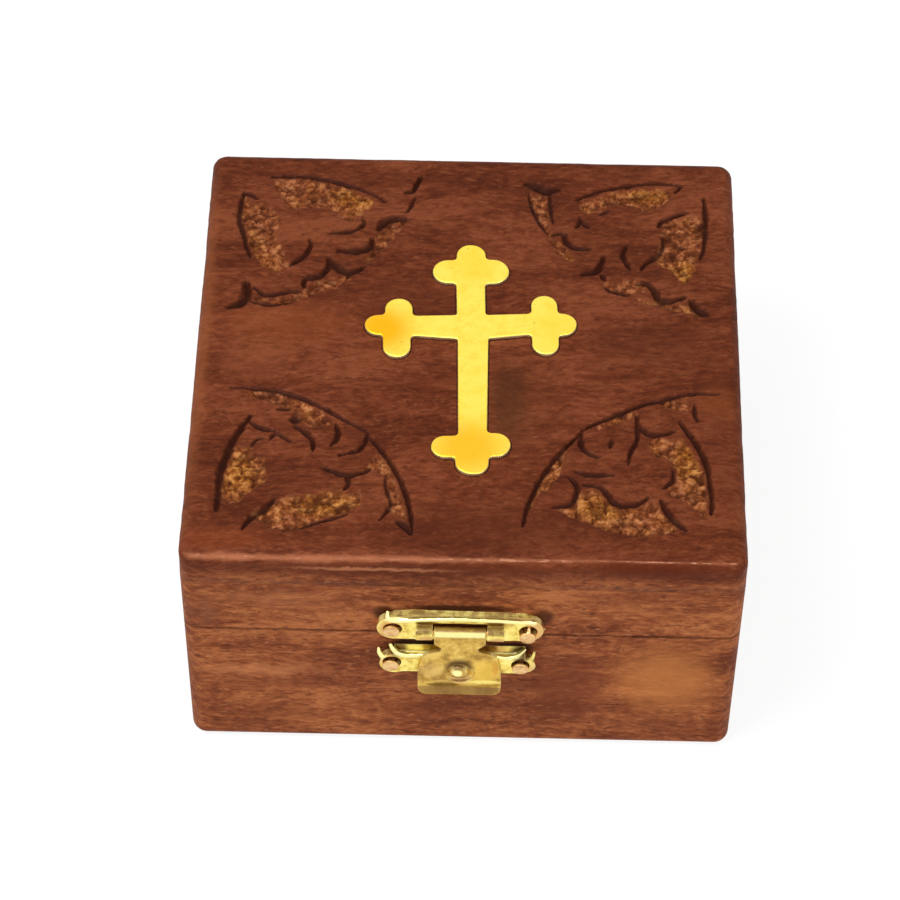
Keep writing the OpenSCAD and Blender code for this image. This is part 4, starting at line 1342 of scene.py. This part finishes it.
def sky():
    """World that lights the box softly and shows plain white to the camera and in reflections."""
    world = bpy.data.worlds.new("studio")
    bpy.context.scene.world = world
    world.use_nodes = True
    s = Nodes(world.node_tree)
    ambient = s.tree.nodes["Background"]
    ambient.inputs["Color"].default_value = WHITE
    ambient.inputs["Strength"].default_value = AMBIENT
    white = s.add("Background", Color=WHITE, Strength=1.0)
    either = s.add("MixShader")
    for socket, value in zip(either.inputs, (s.seen(), ambient.outputs[0], white.outputs[0])):
        s.put(socket, value)
    s.put(s.tree.nodes["World Output"].inputs["Surface"], either.outputs[0])


def lamp(name, place, size, power):
    """Square area lamp that points at the middle of the box."""
    data = bpy.data.lights.new(name, "AREA")
    data.shape = "SQUARE"
    data.size = size
    data.energy = power
    light = add_object(name, data)
    light.location = place
    light.rotation_euler = (Vector((0, 0, 0.03)) - Vector(place)).to_track_quat("-Z", "Y").to_euler()


def camera():
    """Camera at the photograph's place, worked out from the outline of the box."""
    right = Vector((0.99975, 0.02146, 0.00674))
    down = Vector((0.02090, -0.77537, -0.63116))
    ahead = Vector((-0.00832, 0.63114, -0.77562))
    data = bpy.data.cameras.new("camera")
    data.sensor_width = 36
    data.lens = 134.66
    data.clip_start, data.clip_end = 0.01, 20
    eye = add_object("camera", data)
    turn = Matrix((right, -down, -ahead)).transposed()
    eye.matrix_world = Matrix.Translation((0.00228, -0.41219, 0.53323)) @ turn.to_4x4()
    bpy.context.scene.camera = eye


# The box


def dress_boards():
    """Gives each side's boards, which were cut from one plank, the same wood on base and lid."""
    woods = {
        "front": front_wood("front_rosewood", (0.0, 0.0, 0.0)),
        "back": side_wood("back_rosewood", "X", (0.5, 0.2, 0.1)),
        "left": side_wood("left_rosewood", "Y", (0.1, 0.6, 0.3)),
        "right": side_wood("right_rosewood", "Y", (0.7, 0.3, 0.5)),
    }
    for side, wood in woods.items():
        paint(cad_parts[f"base_{side}_wall"], wood)
        paint(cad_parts[f"lid_{side}_rail"], wood)
    paint(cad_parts["base_bottom_panel"], side_wood("bottom_rosewood", "X", (0.9, 0.4, 0.2)))


def place(piece, body, slot, material, *replaced):
    """Finishes a piece, makes it ride on its body and hides the nodes that it stands for."""
    paint(piece, material)
    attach(piece, body)
    if replaced:
        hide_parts(*replaced)


def dress_hinges(nail_brass):
    """Gives the hinges and the plain nails and pins their brass."""
    hinge_brass = brass("hinge_brass", srgb(226, 190, 98), srgb(196, 152, 72), srgb(140, 104, 48), 0.7, 0.3)
    for side in ("left", "right"):
        for part in ("base_leaf", "lid_leaf", "pin"):
            paint(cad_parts[f"{side}_hinge_{part}"], hinge_brass)
    for name in ("hinge_base_nails", "hinge_lid_nails", "clasp_hasp_pin"):
        paint(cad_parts[name], nail_brass)


def dress_clasp(nail_brass):
    """Stamped plates, hasp and nails of the clasp."""
    plate = brass("clasp_brass", srgb(255, 240, 140), srgb(246, 218, 106), srgb(206, 164, 70), 0.85, 0.26,
                  grain=1.8, upward_reflection=srgb(118, 84, 26), stains_and_painted_light=PLATE_STAINS_AND_PAINTED_LIGHT, blend=0.5)
    flap = brass("hasp_brass", srgb(236, 200, 104), srgb(212, 172, 80), srgb(170, 130, 56), 0.95, 0.3,
                 grain=3.0, upward_reflection=srgb(122, 86, 28), stains_and_painted_light=HASP_STAINS_AND_PAINTED_LIGHT, specks=0.4, blend=0.5)
    place(upper_plate(), "lid", "clasp_brass", plate, "clasp_upper_plate")
    place(lower_plate(), "base", "clasp_brass", plate, "clasp_lower_plate")
    place(hasp(), "hasp", "clasp_brass", flap, "clasp_hasp")
    upper = nails("upper_plate_nails", "clasp_upper_nails", bent=True)
    place(upper, "lid", "nail_brass", nail_brass, "clasp_upper_nails")
    lower = nails("lower_plate_nails", "clasp_lower_nails")
    place(lower, "base", "nail_brass", nail_brass, "clasp_lower_nails")


def dress_cross():
    # The upright side walls of the cross get a painted near-white highlight
    sign = brass("cross_brass", srgb(252, 232, 100), srgb(250, 222, 84), srgb(244, 198, 56), 0.5, 0.34,
                 sides=srgb(255, 246, 190), stains_and_painted_light=CROSS_STAINS, specks=0.45)
    place(cross(), "lid", "cross_brass", sign, "lid_cross")


def dress_pads():
    red = velvet()
    linings = (("floor_lining", "base_floor_pad", "base", False), ("lid_lining", "lid_pad", "lid", True))
    for name, node, body, down in linings:
        piece = pad(name, node, down)
        place(piece, body, "velvet", red, node)


floor()
sky()
lamp("key_lamp", (-0.3, -0.2, 0.75), 0.35, 4.2)
lamp("fill_lamp", (0.45, -0.5, 0.35), 0.4, 1.4)
camera()
dress_boards()
place(carved_lid(), "lid", "rosewood_top", top_wood(), "lid_top_panel")
drawn_brass = brass("nail_brass", srgb(240, 202, 142), srgb(226, 182, 124), srgb(190, 144, 88), 0.9, 0.42,
                    grain=1.5)
dress_hinges(drawn_brass)
dress_clasp(drawn_brass)
dress_cross()
dress_pads()
bpy.context.scene.view_settings.view_transform = "Standard"
